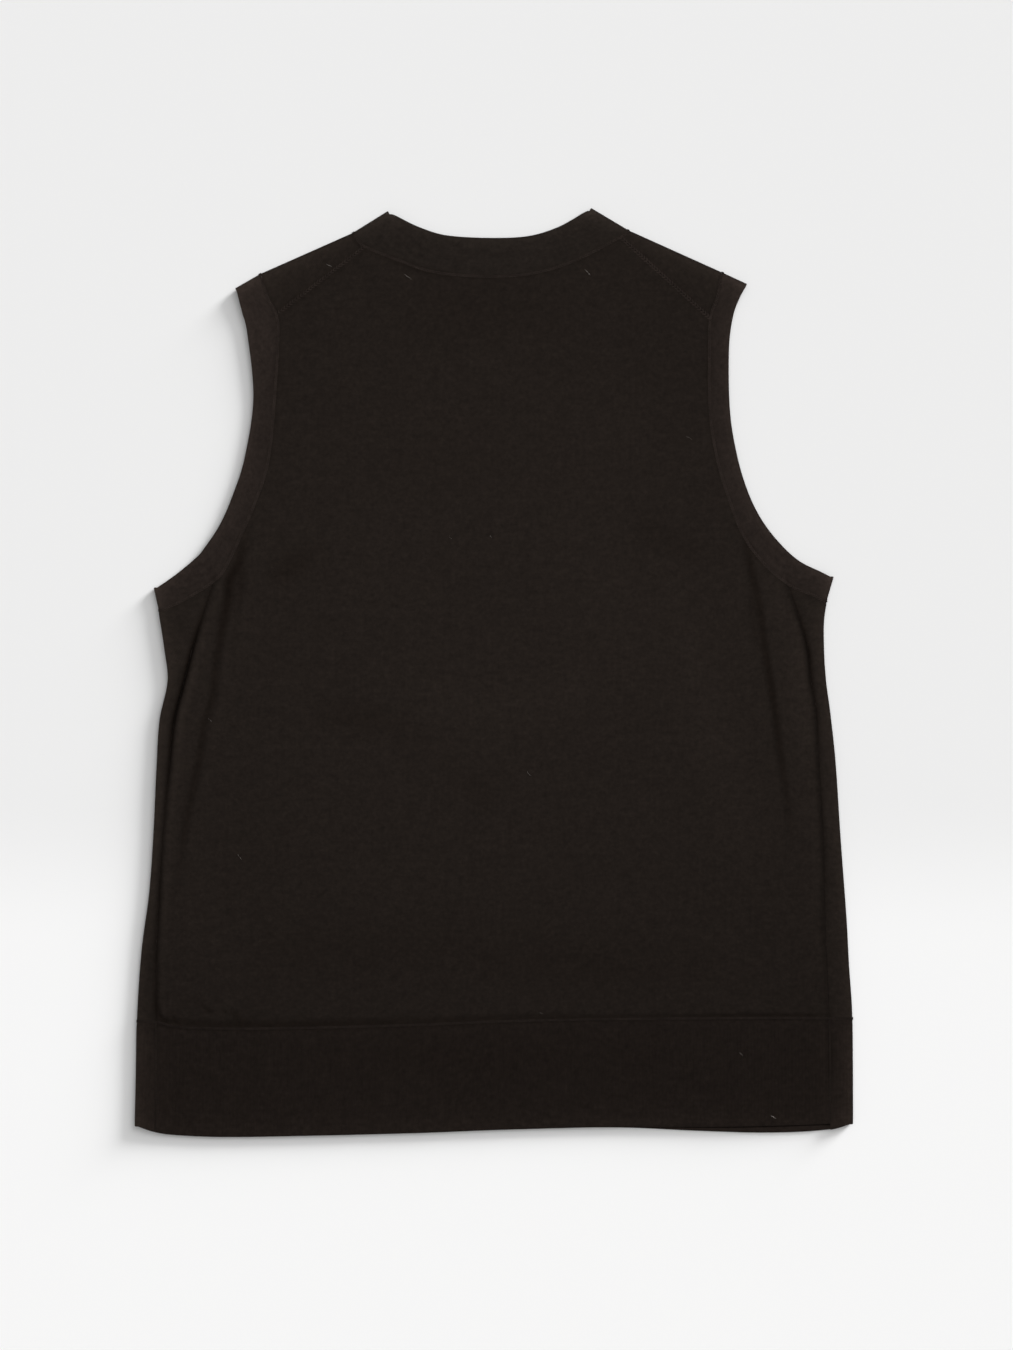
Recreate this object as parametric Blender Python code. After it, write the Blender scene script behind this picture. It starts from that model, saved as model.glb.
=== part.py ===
"""A knitted sleeveless pullover laid flat on its front, so that its back lies on top.

Seven knitted pieces: a back and a front panel, a ribbed hem band on each, one ribbed
band round the neck and one round each armhole. The front panel is the lower layer. It
turns up round both side folds and over both shoulder folds, and meets the back panel
in seams that lie on top. Metres, +Z up, the head end towards +Y, origin in the middle
of the garment's box on the surface that it lies on.

Tables give distances from the centre line and heights above the lowest hem edge.
"""

import math
from collections import namedtuple

import bmesh
import bpy
from mathutils import Vector

# Driving sizes
CHEST = 0.480            # across the chest, laid flat
BODY_LENGTH = 0.656      # from the neck side of the shoulder to the hem edge
DRAFT_CHEST = 0.480      # the tables are drafted for this chest
DRAFT_LENGTH = 0.656     # and this length

WALL = 0.0015            # thickness of the knitted cloth
LAYER_GAP = 0.0010       # air between the lower and the upper layer
FOLD_RADIUS = 0.0020     # of the cloth's middle, where it turns at a fold
SEAM_GAP = 0.0003        # between two pieces at their seam
RIB_PITCH = 0.0024       # one ridge and one furrow of the ribbing
RIB_RELIEF = 0.0005      # height of a ridge over its furrow
LINK_RELIEF = 0.0003     # how far the linked stitches stand up beside a band's seam
CENTRE = -0.0020         # the neck opening's centre line

LOWER = WALL / 2                             # height of the lower layer's middle
UPPER = WALL + LAYER_GAP + WALL / 2          # the upper layer's, where it lies plain
UPPER_LEAST = WALL + SEAM_GAP + WALL / 2     # and where it comes closest to the lower
FOLD_TOP = LOWER + 2 * FOLD_RADIUS           # and at a fold
FOLD_REACH = FOLD_RADIUS + WALL / 2          # from a fold's line to the outline
FOLD_SLOPE = 0.014                           # how far in from a fold the cloth sinks


def graded(rows):
    """A table at the driving sizes: its _x columns grow across and its _y columns up."""
    scale = {"_x": CHEST / DRAFT_CHEST, "_y": BODY_LENGTH / DRAFT_LENGTH}
    return [row._replace(**{field: value * scale[field[-2:]]
                            for field, value in row._asdict().items() if field[-2:] in scale})
            for row in rows]


# One row for each height up the side: the outline, the side seam, and the height of
# the roll that the back panel makes beside the seam
Side = namedtuple("Side", "up_y fold_x seam_x roll")
LEFT_SIDE = graded((
    Side(0.000, 0.2545, 0.2398, 0.0004), Side(0.047, 0.2535, 0.2390, 0.0005),
    Side(0.089, 0.2525, 0.2393, 0.0010), Side(0.132, 0.2495, 0.2389, 0.0018),
    Side(0.174, 0.2440, 0.2368, 0.0022), Side(0.217, 0.2410, 0.2342, 0.0028),
    Side(0.260, 0.2390, 0.2300, 0.0034), Side(0.295, 0.2368, 0.2262, 0.0038),
    Side(0.323, 0.2311, 0.2190, 0.0040), Side(0.345, 0.2333, 0.2135, 0.0038),
    Side(0.372, 0.2375, 0.2055, 0.0034), Side(0.393, 0.2410, 0.1985, 0.0028),
))
RIGHT_SIDE = graded((
    Side(0.000, 0.2545, 0.2384, 0.0003), Side(0.060, 0.2543, 0.2382, 0.0006),
    Side(0.089, 0.2538, 0.2375, 0.0010), Side(0.121, 0.2517, 0.2361, 0.0016),
    Side(0.153, 0.2500, 0.2347, 0.0022), Side(0.210, 0.2458, 0.2336, 0.0026),
    Side(0.267, 0.2420, 0.2304, 0.0030), Side(0.302, 0.2382, 0.2286, 0.0030),
    Side(0.323, 0.2354, 0.2248, 0.0032), Side(0.345, 0.2340, 0.2226, 0.0032),
    Side(0.368, 0.2342, 0.2165, 0.0030), Side(0.391, 0.2385, 0.2088, 0.0024),
))

# One row for each line across an armhole band, from the underarm fold to the shoulder
# fold. The side seam meets row 2 and the shoulder seam meets row 9.
Band = namedtuple("Band", "seam_x seam_y edge_x edge_y")
LEFT_ARM = graded((
    Band(0.2372, 0.3726, 0.2411, 0.3871), Band(0.2170, 0.3812, 0.2255, 0.3975),
    Band(0.1985, 0.3928, 0.2113, 0.4098), Band(0.1907, 0.4013, 0.2056, 0.4162),
    Band(0.1787, 0.4261, 0.1939, 0.4339), Band(0.1695, 0.4474, 0.1846, 0.4553),
    Band(0.1595, 0.4779, 0.1764, 0.4814), Band(0.1549, 0.5218, 0.1703, 0.5232),
    Band(0.1524, 0.5679, 0.1739, 0.5679), Band(0.1539, 0.5825, 0.1776, 0.5842),
    Band(0.1602, 0.5956, 0.1808, 0.5941), Band(0.1652, 0.6094, 0.1829, 0.6005),
))
RIGHT_ARM = graded((
    Band(0.2357, 0.3793, 0.2404, 0.3963), Band(0.2255, 0.3836, 0.2320, 0.4003),
    Band(0.2088, 0.3907, 0.2162, 0.4080), Band(0.1921, 0.4048, 0.2026, 0.4204),
    Band(0.1763, 0.4261, 0.1900, 0.4367), Band(0.1666, 0.4509, 0.1804, 0.4559),
    Band(0.1580, 0.4793, 0.1726, 0.4814), Band(0.1528, 0.5133, 0.1673, 0.5140),
    Band(0.1524, 0.5573, 0.1666, 0.5573), Band(0.1531, 0.5800, 0.1694, 0.5807),
    Band(0.1581, 0.5956, 0.1741, 0.5941), Band(0.1617, 0.6123, 0.1794, 0.6041),
))
ARM_SIDE_ROW, ARM_CHEST_ROW, ARM_SHOULDER_ROW, ARM_FOLD_ROW = 2, 3, 9, 11

# Lines across the back of the neck band, from the left shoulder fold to the right one.
# The shoulder seams meet rows 1 and 7.
BACK_NECK = graded((
    Band(-0.1000, 0.6381, -0.0744, 0.6555), Band(-0.0915, 0.6303, -0.0695, 0.6523),
    Band(-0.0666, 0.6201, -0.0532, 0.6445), Band(-0.0411, 0.6119, -0.0333, 0.6385),
    Band(-0.0021, 0.6089, -0.0021, 0.6367), Band(0.0305, 0.6117, 0.0248, 0.6381),
    Band(0.0600, 0.6213, 0.0460, 0.6446), Band(0.0900, 0.6370, 0.0640, 0.6546),
    Band(0.0957, 0.6420, 0.0688, 0.6580),
))
NECK_MIDDLE_ROW = 4

# Lines across half of the front's V between its point and the shoulder fold, with x
# measured from the centre line
FRONT_NECK = graded((
    Band(0.0000, 0.4310, 0.0000, 0.4880),
    Band(0.0360, 0.5000, 0.0116, 0.5116), Band(0.0700, 0.5700, 0.0452, 0.5806),
))

# The hem, from left to right: its seam and the free edges of its two layers
Hem = namedtuple("Hem", "across_x seam_y back_y front_y")
HEM = graded((
    Hem(-0.2545, 0.0825, 0.0085, 0.0085), Hem(-0.2400, 0.0820, 0.0035, 0.0035),
    Hem(-0.2270, 0.0785, 0.0015, 0.0020), Hem(-0.1940, 0.0770, 0.0000, 0.0010),
    Hem(-0.1370, 0.0775, 0.0007, 0.0020), Hem(-0.0520, 0.0798, 0.0028, 0.0040),
    Hem(0.0050, 0.0822, 0.0050, 0.0060), Hem(0.0900, 0.0837, 0.0071, 0.0070),
    Hem(0.1450, 0.0842, 0.0071, 0.0050), Hem(0.1950, 0.0844, 0.0078, 0.0035),
    Hem(0.2380, 0.0844, 0.0092, 0.0055), Hem(0.2545, 0.0844, 0.0099, 0.0099),
))

# Soft troughs in the upper layer: each one's places from end to end, depth and half width
Place = namedtuple("Place", "at_x at_y")
Trough = namedtuple("Trough", "places depth width")
TROUGHS = (
    Trough(((-0.1773, 0.4226), (-0.1865, 0.3928), (-0.1925, 0.3658), (-0.1985, 0.3091),
            (-0.2084, 0.2701), (-0.2170, 0.2240), (-0.2226, 0.1950)), 0.0016, 0.0050),
    Trough(((0.1843, 0.4107), (0.1863, 0.3871), (0.1936, 0.3439), (0.2014, 0.2914),
            (0.2092, 0.2411), (0.2120, 0.2099)), 0.0014, 0.0050),
    Trough(((-0.1500, 0.4180), (-0.1400, 0.4060)), 0.0008, 0.0100),
    Trough(((-0.1070, 0.2978), (-0.0468, 0.2886), (-0.0099, 0.2517)), 0.0006, 0.0120),
    Trough(((0.1014, 0.4509), (0.1106, 0.4275), (0.1404, 0.4141)), 0.0006, 0.0100),
)
TROUGH_FADE = 0.030      # length over which a trough rises to nothing at its ends

SEAM_GROOVE = 0.0016     # the side seam lies in a groove this deep
GROOVE_WIDTH = 0.0022
HEM_GROOVE_SHARE = 0.4   # how much of the groove goes on through the hem bands
HEM_GROOVE_FADE = 0.012  # length below the hem seam over which it grows shallow
ROLL_INSET = 0.0070      # the back panel's roll stands this far in from the seam
ROLL_WIDTH = 0.0055
ROLL_FADE = 0.025        # length over which groove and roll end above the underarm

# Mesh stations: shares of the way across or along, and counts
COLUMNS = (0.0, 0.012, 0.028, 0.048, 0.072, 0.105, 0.15, 0.21, 0.30, 0.40,
           0.50, 0.60, 0.70, 0.80, 0.90, 1.0)
SHOULDER_COLUMN = 9      # the back panel's column where the shoulder seam meets the neck
SIDE_ROWS = 13
ROWS_PER_LINE = 2        # rows from one line of an armhole or neck table to the next
CENTRE_COLUMNS = 4
HEM_STRIP_COLUMNS = 2
FOLD_STEPS = 4
BAND_SHARES = (0.0, 0.14, 0.56, 1.0)
HEM_SHARES = (0.0, 0.35, 0.70, 1.0)
LINK_ROW = 1             # the band's row that the linked stitches lift
STANDING = 0.5           # relief fades from here, as a fold turns the cloth face down
SLOPE_STEP = 0.0004      # half the run over which the cloth's slope is read
MERGE_DISTANCE = 1e-6    # grids of one panel share their border points

BODY_COLOUR = (0.0155, 0.0116, 0.0096)
BAND_COLOUR = (0.0185, 0.0130, 0.0108)
HEM_COLOUR = (0.0110, 0.0082, 0.0066)
ROUGHNESS = 0.92


# ---------------------------------------------------------------- curves and heights

class Curve:
    """A smooth value through the rows of a table, read at a knot between the rows."""

    def __init__(self, knots, values):
        self.knots = list(knots)
        self.values = list(values)

    def slope(self, i):
        low, high = max(i - 1, 0), min(i + 1, len(self.knots) - 1)
        return (self.values[high] - self.values[low]) / (self.knots[high] - self.knots[low])

    def __call__(self, at):
        at = min(max(at, self.knots[0]), self.knots[-1])
        i = 0
        while i < len(self.knots) - 2 and at > self.knots[i + 1]:
            i += 1
        span = self.knots[i + 1] - self.knots[i]
        t = (at - self.knots[i]) / span
        rest = 1 - t
        return (self.values[i] * (1 + 2 * t) * rest * rest
                + self.values[i + 1] * t * t * (3 - 2 * t)
                + self.slope(i) * span * t * rest * rest
                - self.slope(i + 1) * span * t * t * rest)


def column(rows, knot, value):
    """The curve of one named column of a table over another."""
    return Curve([getattr(row, knot) for row in rows], [getattr(row, value) for row in rows])


def plan_curve(points):
    """A smooth curve in plan through points, read at the points' numbers."""
    numbers = range(len(points))
    x, y = (Curve(numbers, [point[axis] for point in points]) for axis in (0, 1))
    return lambda at: Vector((x(at), y(at)))


def band_curves(rows, sign=1, centre=0.0):
    """A band's seam points and edge points in plan, as two lists."""
    seam = [Vector((centre + sign * row.seam_x, row.seam_y)) for row in rows]
    edge = [Vector((centre + sign * row.edge_x, row.edge_y)) for row in rows]
    return seam, edge


def bell(distance, width):
    return math.exp(-(distance / width) ** 2)


def line_distance(point, line):
    """Distance from a point to an open line, and from the nearest place to its ends."""
    best, before, total = (math.inf, 0.0), 0.0, 0.0
    for start, end in zip(line, line[1:]):
        run = end - start
        share = min(max((point - start).dot(run) / run.length_squared, 0.0), 1.0)
        distance = (point - start - run * share).length
        if distance < best[0]:
            best, before = (distance, 0.0), total + run.length * share
        total += run.length
    return best[0], min(before, total - before)


class Half:
    """One side of the garment: sign -1 is the left, +1 the right.

    neck_fold_row is the row of BACK_NECK at this side's shoulder fold, and
    neck_corner_row the row that this side's shoulder seam meets.
    """

    def __init__(self, sign, side, arm, neck_fold_row, neck_corner_row):
        self.sign = sign
        self.neck_fold_row, self.neck_corner_row = neck_fold_row, neck_corner_row
        self.fold = column(side, "up_y", "fold_x")
        self.seam = column(side, "up_y", "seam_x")
        self.roll = column(side, "up_y", "roll")
        self.underarm, self.joint = arm[0].edge_y, arm[ARM_SIDE_ROW].seam_y
        seams, edges = band_curves(arm, sign)
        neck_fold = BACK_NECK[neck_fold_row]
        peak = Vector((neck_fold.edge_x, neck_fold.edge_y))
        along = (peak - edges[-1]).normalized()
        self.side_out = Vector((sign, 0.0))
        self.shoulder_out = Vector((sign * abs(along.y), abs(along.x)))
        self.shoulder_line = [end - self.shoulder_out * FOLD_REACH for end in (edges[-1], peak)]
        for line in (seams, edges):
            line[0] -= self.side_out * FOLD_REACH
            line[-1] -= self.shoulder_out * FOLD_REACH
        self.arm_seam, self.arm_edge = plan_curve(seams), plan_curve(edges)

    def fold_point(self, height):
        return Vector((self.sign * (self.fold(height) - FOLD_REACH), height))

    def seam_point(self, height):
        return Vector((self.sign * self.seam(height), height))

    def rise(self, point):
        """How far the folds, the side seam's groove and the roll lift the upper layer."""
        from_side = (point - self.fold_point(min(point.y, self.underarm))).length
        from_shoulder, _ = line_distance(point, self.shoulder_line)
        lift = (FOLD_TOP - UPPER) * bell(min(from_side, from_shoulder), FOLD_SLOPE)
        inboard = self.seam(point.y) - self.sign * point.x
        above_hem = bell(max(HEM[0].seam_y - point.y, 0.0), HEM_GROOVE_FADE)
        groove = SEAM_GROOVE * (HEM_GROOVE_SHARE + (1 - HEM_GROOVE_SHARE) * above_hem)
        beside = (self.roll(point.y) * bell(inboard - ROLL_INSET, ROLL_WIDTH)
                  - groove * bell(inboard, GROOVE_WIDTH))
        return lift + beside * bell(max(point.y - self.joint, 0.0), ROLL_FADE)


LEFT = Half(-1, LEFT_SIDE, LEFT_ARM, 0, 1)
RIGHT = Half(1, RIGHT_SIDE, RIGHT_ARM, 8, 7)
HALVES = (LEFT, RIGHT)
TROUGH_LINES = [[Vector(place) for place in graded([Place(*place) for place in trough.places])]
                for trough in TROUGHS]

hem_seam = column(HEM, "across_x", "seam_y")
back_hem_edge = column(HEM, "across_x", "back_y")
front_hem_edge = column(HEM, "across_x", "front_y")


def neck_curves():
    """The back neck's seam and edge in plan, drawn in to the fold lines at their ends."""
    seams, edges = band_curves(BACK_NECK)
    for line in (seams, edges):
        line[0] -= LEFT.shoulder_out * FOLD_REACH
        line[-1] -= RIGHT.shoulder_out * FOLD_REACH
    return plan_curve(seams), plan_curve(edges)


neck_seam, neck_edge = neck_curves()


def front_neck_curves(half):
    """The front neck's seam and edge in plan, from the V's point up to the fold."""
    seams, edges = band_curves(FRONT_NECK, half.sign, CENTRE)
    seams.append(neck_seam(half.neck_fold_row))
    edges.append(neck_edge(half.neck_fold_row))
    return plan_curve(seams), plan_curve(edges)


def upper_height(point):
    """Height of the upper layer's middle at a place in plan."""
    height = UPPER + sum(half.rise(point) for half in HALVES)
    for trough, line in zip(TROUGHS, TROUGH_LINES):
        distance, to_end = line_distance(point, line)
        height -= trough.depth * bell(distance, trough.width) * (1 - bell(to_end, TROUGH_FADE))
    return max(height, UPPER_LEAST)


Spot = namedtuple("Spot", "place facing")    # a point of the cloth's middle


def on_top(point):
    """A spot of the upper layer over a place in plan."""
    slopes = [(upper_height(point + run) - upper_height(point - run)) / (2 * SLOPE_STEP)
              for run in (Vector((SLOPE_STEP, 0.0)), Vector((0.0, SLOPE_STEP)))]
    facing = Vector((-slopes[0], -slopes[1], 1.0)).normalized()
    return Spot(Vector((point.x, point.y, upper_height(point))), facing)


def below(point):
    """A spot of the lower layer under a place in plan."""
    return Spot(Vector((point.x, point.y, LOWER)), Vector((0.0, 0.0, -1.0)))


def turned(point, outward, share):
    """A spot round a fold, from the lower layer at share 0 to the upper one at 1."""
    if share == 0:
        return below(point)
    if share == 1:
        return on_top(point)
    out, up = math.sin(math.pi * share), -math.cos(math.pi * share)
    reach = point + outward * FOLD_RADIUS * out
    height = LOWER + (upper_height(point) - LOWER) * (1 + up) / 2
    return Spot(Vector((reach.x, reach.y, height)), Vector((outward.x * out, outward.y * out, up)))


# ---------------------------------------------------------------- lines and grids

def even(count):
    return [i / count for i in range(count + 1)]


def steps(start, end, count):
    return [start + (end - start) * share for share in even(count)]


def table_steps(start, end):
    """Knots from one row of an armhole or neck table to another."""
    return steps(start, end, abs(end - start) * ROWS_PER_LINE)


def spread(start, end, shares):
    return [start.lerp(end, share) for share in shares]


def shares_of(line):
    """Each point's share of the way along a line."""
    lengths = [0.0]
    for start, end in zip(line, line[1:]):
        lengths.append(lengths[-1] + (end - start).length)
    return [length / lengths[-1] for length in lengths]


def centre_spread(start, end, outers):
    """Points up the centre line, at the average of the two halves' shares."""
    return spread(start, end, [sum(pair) / 2 for pair in zip(*map(shares_of, outers))])


def fill(outer, inner, bottom, top, laid):
    """A grid of spots, row by row, that meets four border lines."""
    up = [(a + b) / 2 for a, b in zip(shares_of(outer), shares_of(inner))]
    over = [(a + b) / 2 for a, b in zip(shares_of(bottom), shares_of(top))]
    grid = []
    for v, left, right in zip(up, outer, inner):
        row = []
        for u, low, high in zip(over, bottom, top):
            corners = (outer[0].lerp(inner[0], u)).lerp(outer[-1].lerp(inner[-1], u), v)
            row.append(laid(left.lerp(right, u) + low.lerp(high, v) - corners))
        grid.append(row)
    return grid


def over_fold(line, outward):
    """A grid of spots that turns round a fold line, from the lower to the upper layer."""
    return [[turned(point, outward, share) for share in even(FOLD_STEPS)] for point in line]


# ---------------------------------------------------------------- solids

def solid(name, mesh, colour):
    """Turn a closed bmesh into a named object with its own plain material."""
    bmesh.ops.recalc_face_normals(mesh, faces=mesh.faces)
    data = bpy.data.meshes.new(name)
    mesh.to_mesh(data)
    mesh.free()
    data.shade_smooth()
    material = bpy.data.materials.new(name)
    material.use_nodes = True
    shader = material.node_tree.nodes["Principled BSDF"]
    shader.inputs["Base Color"].default_value = (*colour, 1.0)
    shader.inputs["Roughness"].default_value = ROUGHNESS
    shader.inputs["Metallic"].default_value = 0.0
    data.materials.append(material)
    piece = bpy.data.objects.new(name, data)
    bpy.context.collection.objects.link(piece)
    return piece


def panel(name, grids, colour):
    """A wall of even thickness over grids of spots that share their border points."""
    middle = bmesh.new()
    facing = middle.verts.layers.float_vector.new("facing")
    for grid in grids:
        rows = []
        for line in grid:
            rows.append([middle.verts.new(spot.place) for spot in line])
            for vert, spot in zip(rows[-1], line):
                vert[facing] = spot.facing
        for low, high in zip(rows, rows[1:]):
            for corners in zip(low, low[1:], high[1:], high):
                middle.faces.new(corners)
    bmesh.ops.remove_doubles(middle, verts=middle.verts, dist=MERGE_DISTANCE)
    middle.normal_update()

    wall = bmesh.new()
    skins = {}
    for vert in middle.verts:
        half_wall = vert[facing].normalized() * (WALL / 2)
        skins[vert] = (wall.verts.new(vert.co + half_wall), wall.verts.new(vert.co - half_wall))
    for face in middle.faces:
        if face.normal.dot(sum((vert[facing] for vert in face.verts), Vector())) < 0:
            face.normal_flip()
        wall.faces.new([skins[vert][0] for vert in face.verts])
        wall.faces.new([skins[vert][1] for vert in reversed(face.verts)])
    for edge in middle.edges:
        if edge.is_boundary:
            start, end = (skins[vert] for vert in edge.verts)
            wall.faces.new((start[0], start[1], end[1], end[0]))
    middle.free()
    return solid(name, wall, colour)


def lay_line(mesh, line, following, share, offset, relief=0.0):
    """Vertices across a band between two of its stations, moved out from its middle.

    relief is a rib's height there. It fades where the cloth turns face down.
    """
    verts = []
    for row, (spot, other) in enumerate(zip(line, following)):
        facing = spot.facing.lerp(other.facing, share).normalized()
        link = LINK_RELIEF if offset > 0 and row == LINK_ROW else 0.0
        raised = (relief + link) * min(max(facing.z + STANDING, 0.0), 1.0)
        verts.append(mesh.verts.new(spot.place.lerp(other.place, share)
                                    + facing * (offset + raised)))
    return verts


def rib_count(line, following):
    """How many ribs fill the stretch between two stations; none where it faces down."""
    middle = len(line) // 2
    if (line[middle].facing + following[middle].facing).z < -2 * STANDING:
        return 0
    return max(1, round((following[middle].place - line[middle].place).length / RIB_PITCH))


def zip_rows(mesh, first, second):
    """Triangles between two rows of (knot, vertex) pairs with different spacing."""
    i = j = 0
    while i < len(first) - 1 or j < len(second) - 1:
        second_done = j == len(second) - 1
        if second_done or (i < len(first) - 1 and first[i + 1][0] <= second[j + 1][0]):
            mesh.faces.new((first[i][1], first[i + 1][1], second[j][1]))
            i += 1
        else:
            mesh.faces.new((first[i][1], second[j + 1][1], second[j][1]))
            j += 1


def rib_band(name, stations, closed, colour):
    """A band of cloth with raised ribs outside over a plain inside.

    stations is a list of lines across the band, each a list of spots.
    """
    mesh = bmesh.new()
    inner, outer = [], []
    following = stations[1:] + (stations[:1] if closed else [])
    for i, (line, other) in enumerate(zip(stations, following)):
        ribs = rib_count(line, other)
        for k in range(max(1, 2 * ribs)):
            share = k / (2 * ribs) if ribs else 0.0
            relief = RIB_RELIEF if k % 2 else 0.0
            outer.append((i + share, lay_line(mesh, line, other, share, WALL / 2, relief)))
        inner.append((i, lay_line(mesh, line, other, 0.0, -WALL / 2)))
    last = len(following)
    if closed:
        outer.append((last, outer[0][1]))
        inner.append((last, inner[0][1]))
    else:
        end = stations[-1]
        outer.append((last, lay_line(mesh, end, end, 0.0, WALL / 2)))
        inner.append((last, lay_line(mesh, end, end, 0.0, -WALL / 2)))
        for rim, lining in ((outer[0][1], inner[0][1]), (outer[-1][1], inner[-1][1])):
            for corners in zip(rim, rim[1:], lining[1:], lining):
                mesh.faces.new(corners)
    for skin in (outer, inner):
        for (_, line), (_, other) in zip(skin, skin[1:]):
            for corners in zip(line, line[1:], other[1:], other):
                mesh.faces.new(corners)
    for row in (0, -1):
        zip_rows(mesh, [(knot, line[row]) for knot, line in outer],
                 [(knot, line[row]) for knot, line in inner])
    return solid(name, mesh, colour)


# ---------------------------------------------------------------- seam lines

CHEST_MIDDLE = LEFT.arm_seam(ARM_CHEST_ROW).lerp(RIGHT.arm_seam(ARM_CHEST_ROW), 0.5)
CHEST_MIDDLE.x = CENTRE


def on_hem_seam(x):
    return Vector((x, hem_seam(x)))


def along_hem(start_x, end_x, shares):
    return [on_hem_seam(start_x + (end_x - start_x) * share) for share in shares]


def side_seam(half):
    """The side seam, from the hem seam up to the armhole."""
    start = hem_seam(half.seam_point(HEM[0].seam_y).x)
    return [half.seam_point(height) for height in steps(start, half.joint, SIDE_ROWS)]


def side_fold(half):
    """The side fold's line, from the hem seam up to the underarm."""
    start, underarm = hem_seam(half.fold_point(HEM[0].seam_y).x), half.arm_seam(0)
    heights = steps(start, underarm.y, SIDE_ROWS)
    return [half.fold_point(height) for height in heights[:-1]] + [underarm]


def arm_line(half, start_row, end_row):
    return [half.arm_seam(knot) for knot in table_steps(start_row, end_row)]


def chest_line(half):
    """Across the lower layer from the armhole to the centre line."""
    return spread(half.arm_seam(ARM_CHEST_ROW), CHEST_MIDDLE, even(CENTRE_COLUMNS))


def lower_shares(half):
    """The lower layer's columns, from the side fold to the centre line."""
    return shares_of(arm_line(half, 0, ARM_CHEST_ROW) + chest_line(half)[1:])


def v_shares():
    """The rows of the front's V, from its point up to the shoulder fold."""
    return even((ARM_FOLD_ROW - ARM_CHEST_ROW) * ROWS_PER_LINE - 1)


def shoulder_strip_rows(half):
    """The neck band's knots from this side's shoulder fold to its shoulder seam."""
    return steps(half.neck_fold_row, half.neck_corner_row,
                 (ARM_FOLD_ROW - ARM_SHOULDER_ROW) * ROWS_PER_LINE)


# ---------------------------------------------------------------- the pieces

def back_side(half):
    """The back panel's side, up the side seam and then the armhole."""
    line = [point - half.side_out * SEAM_GAP for point in side_seam(half)]
    line += arm_line(half, ARM_SIDE_ROW, ARM_SHOULDER_ROW)[1:]
    line[-1] -= half.shoulder_out * SEAM_GAP
    return line


def back_top(half, shoulder_end):
    """The back panel's top, along the shoulder seam and then the neck."""
    corner = neck_seam(half.neck_corner_row) - half.shoulder_out * SEAM_GAP
    shares = [share / COLUMNS[SHOULDER_COLUMN] for share in COLUMNS[:SHOULDER_COLUMN + 1]]
    neck = table_steps(half.neck_corner_row, NECK_MIDDLE_ROW)
    return spread(shoulder_end, corner, shares) + [neck_seam(knot) for knot in neck[1:]]


def back_panel():
    sides = [back_side(half) for half in HALVES]
    grids = []
    for half, side in zip(HALVES, sides):
        top = back_top(half, side[-1])
        bottom = along_hem(side[0].x, CENTRE, COLUMNS)
        inner = centre_spread(bottom[-1], top[-1], sides)
        grids.append(fill(side, inner, bottom, top, on_top))
    return panel("back_panel", grids, BODY_COLOUR)


def side_strip(half, fold_line):
    """The front's strip that shows on top, between the side seam and the side fold."""
    seam_line = side_seam(half)
    top = arm_line(half, ARM_SIDE_ROW, 0)
    bottom = along_hem(seam_line[0].x, fold_line[0].x, shares_of(top))
    return fill(seam_line, fold_line, bottom, top, on_top)


def shoulder_strip(half, shoulder_fold):
    """The front's strip that shows on top, between the shoulder fold and its seam."""
    over_arm = arm_line(half, ARM_FOLD_ROW, ARM_SHOULDER_ROW)
    over_neck = [neck_seam(knot) for knot in shoulder_strip_rows(half)]
    seam = spread(over_arm[-1], over_neck[-1], even(CENTRE_COLUMNS))
    return fill(over_arm, over_neck, shoulder_fold, seam, on_top)


def front_panel():
    folds = [side_fold(half) for half in HALVES]
    grids = []
    for half, fold_line in zip(HALVES, folds):
        body_top = arm_line(half, 0, ARM_CHEST_ROW) + chest_line(half)[1:]
        body_bottom = along_hem(fold_line[0].x, CENTRE, lower_shares(half))
        centre_line = centre_spread(body_bottom[-1], CHEST_MIDDLE, folds)
        v_seam, _ = front_neck_curves(half)
        arm_side = arm_line(half, ARM_CHEST_ROW, ARM_FOLD_ROW)
        neck_side = [CHEST_MIDDLE] + [v_seam(len(FRONT_NECK) * share) for share in v_shares()]
        shoulder_fold = spread(arm_side[-1], neck_side[-1], even(CENTRE_COLUMNS))
        grids += [
            side_strip(half, fold_line),
            over_fold(fold_line, half.side_out),
            fill(fold_line, centre_line, body_bottom, body_top, below),
            fill(arm_side, neck_side, chest_line(half), shoulder_fold, below),
            over_fold(shoulder_fold, half.shoulder_out),
            shoulder_strip(half, shoulder_fold),
        ]
    return panel("front_panel", grids, BODY_COLOUR)


def across_band(seam, edge, laid):
    """A band's line, which starts a seam's gap away from the panel."""
    start = seam + (edge - seam).normalized() * SEAM_GAP
    return [laid(start.lerp(edge, share)) for share in BAND_SHARES]


def band_round_fold(seam, edge, outward):
    """A band's lines round a fold, between the lower layer's and the upper one's."""
    return [across_band(seam, edge, lambda point, share=share: turned(point, outward, share))
            for share in even(FOLD_STEPS)[1:-1]]


def armhole_rib(name, half):
    knots = table_steps(0, ARM_FOLD_ROW)
    upper, lower = ([across_band(half.arm_seam(knot), half.arm_edge(knot), laid) for knot in knots]
                    for laid in (on_top, below))
    shoulder, underarm = (band_round_fold(half.arm_seam(row), half.arm_edge(row), outward)
                          for row, outward in ((ARM_FOLD_ROW, half.shoulder_out),
                                               (0, half.side_out)))
    return rib_band(name, upper + shoulder[::-1] + lower[::-1] + underarm, True, BAND_COLOUR)


def front_neck_lines(half):
    """The neck band's lines of one half of the V, from its point up and round the fold."""
    v_seam, v_edge = front_neck_curves(half)
    knots = [len(FRONT_NECK) * share for share in v_shares()]
    row = half.neck_fold_row
    return ([across_band(v_seam(knot), v_edge(knot), below) for knot in knots]
            + band_round_fold(neck_seam(row), neck_edge(row), half.shoulder_out))


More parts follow.
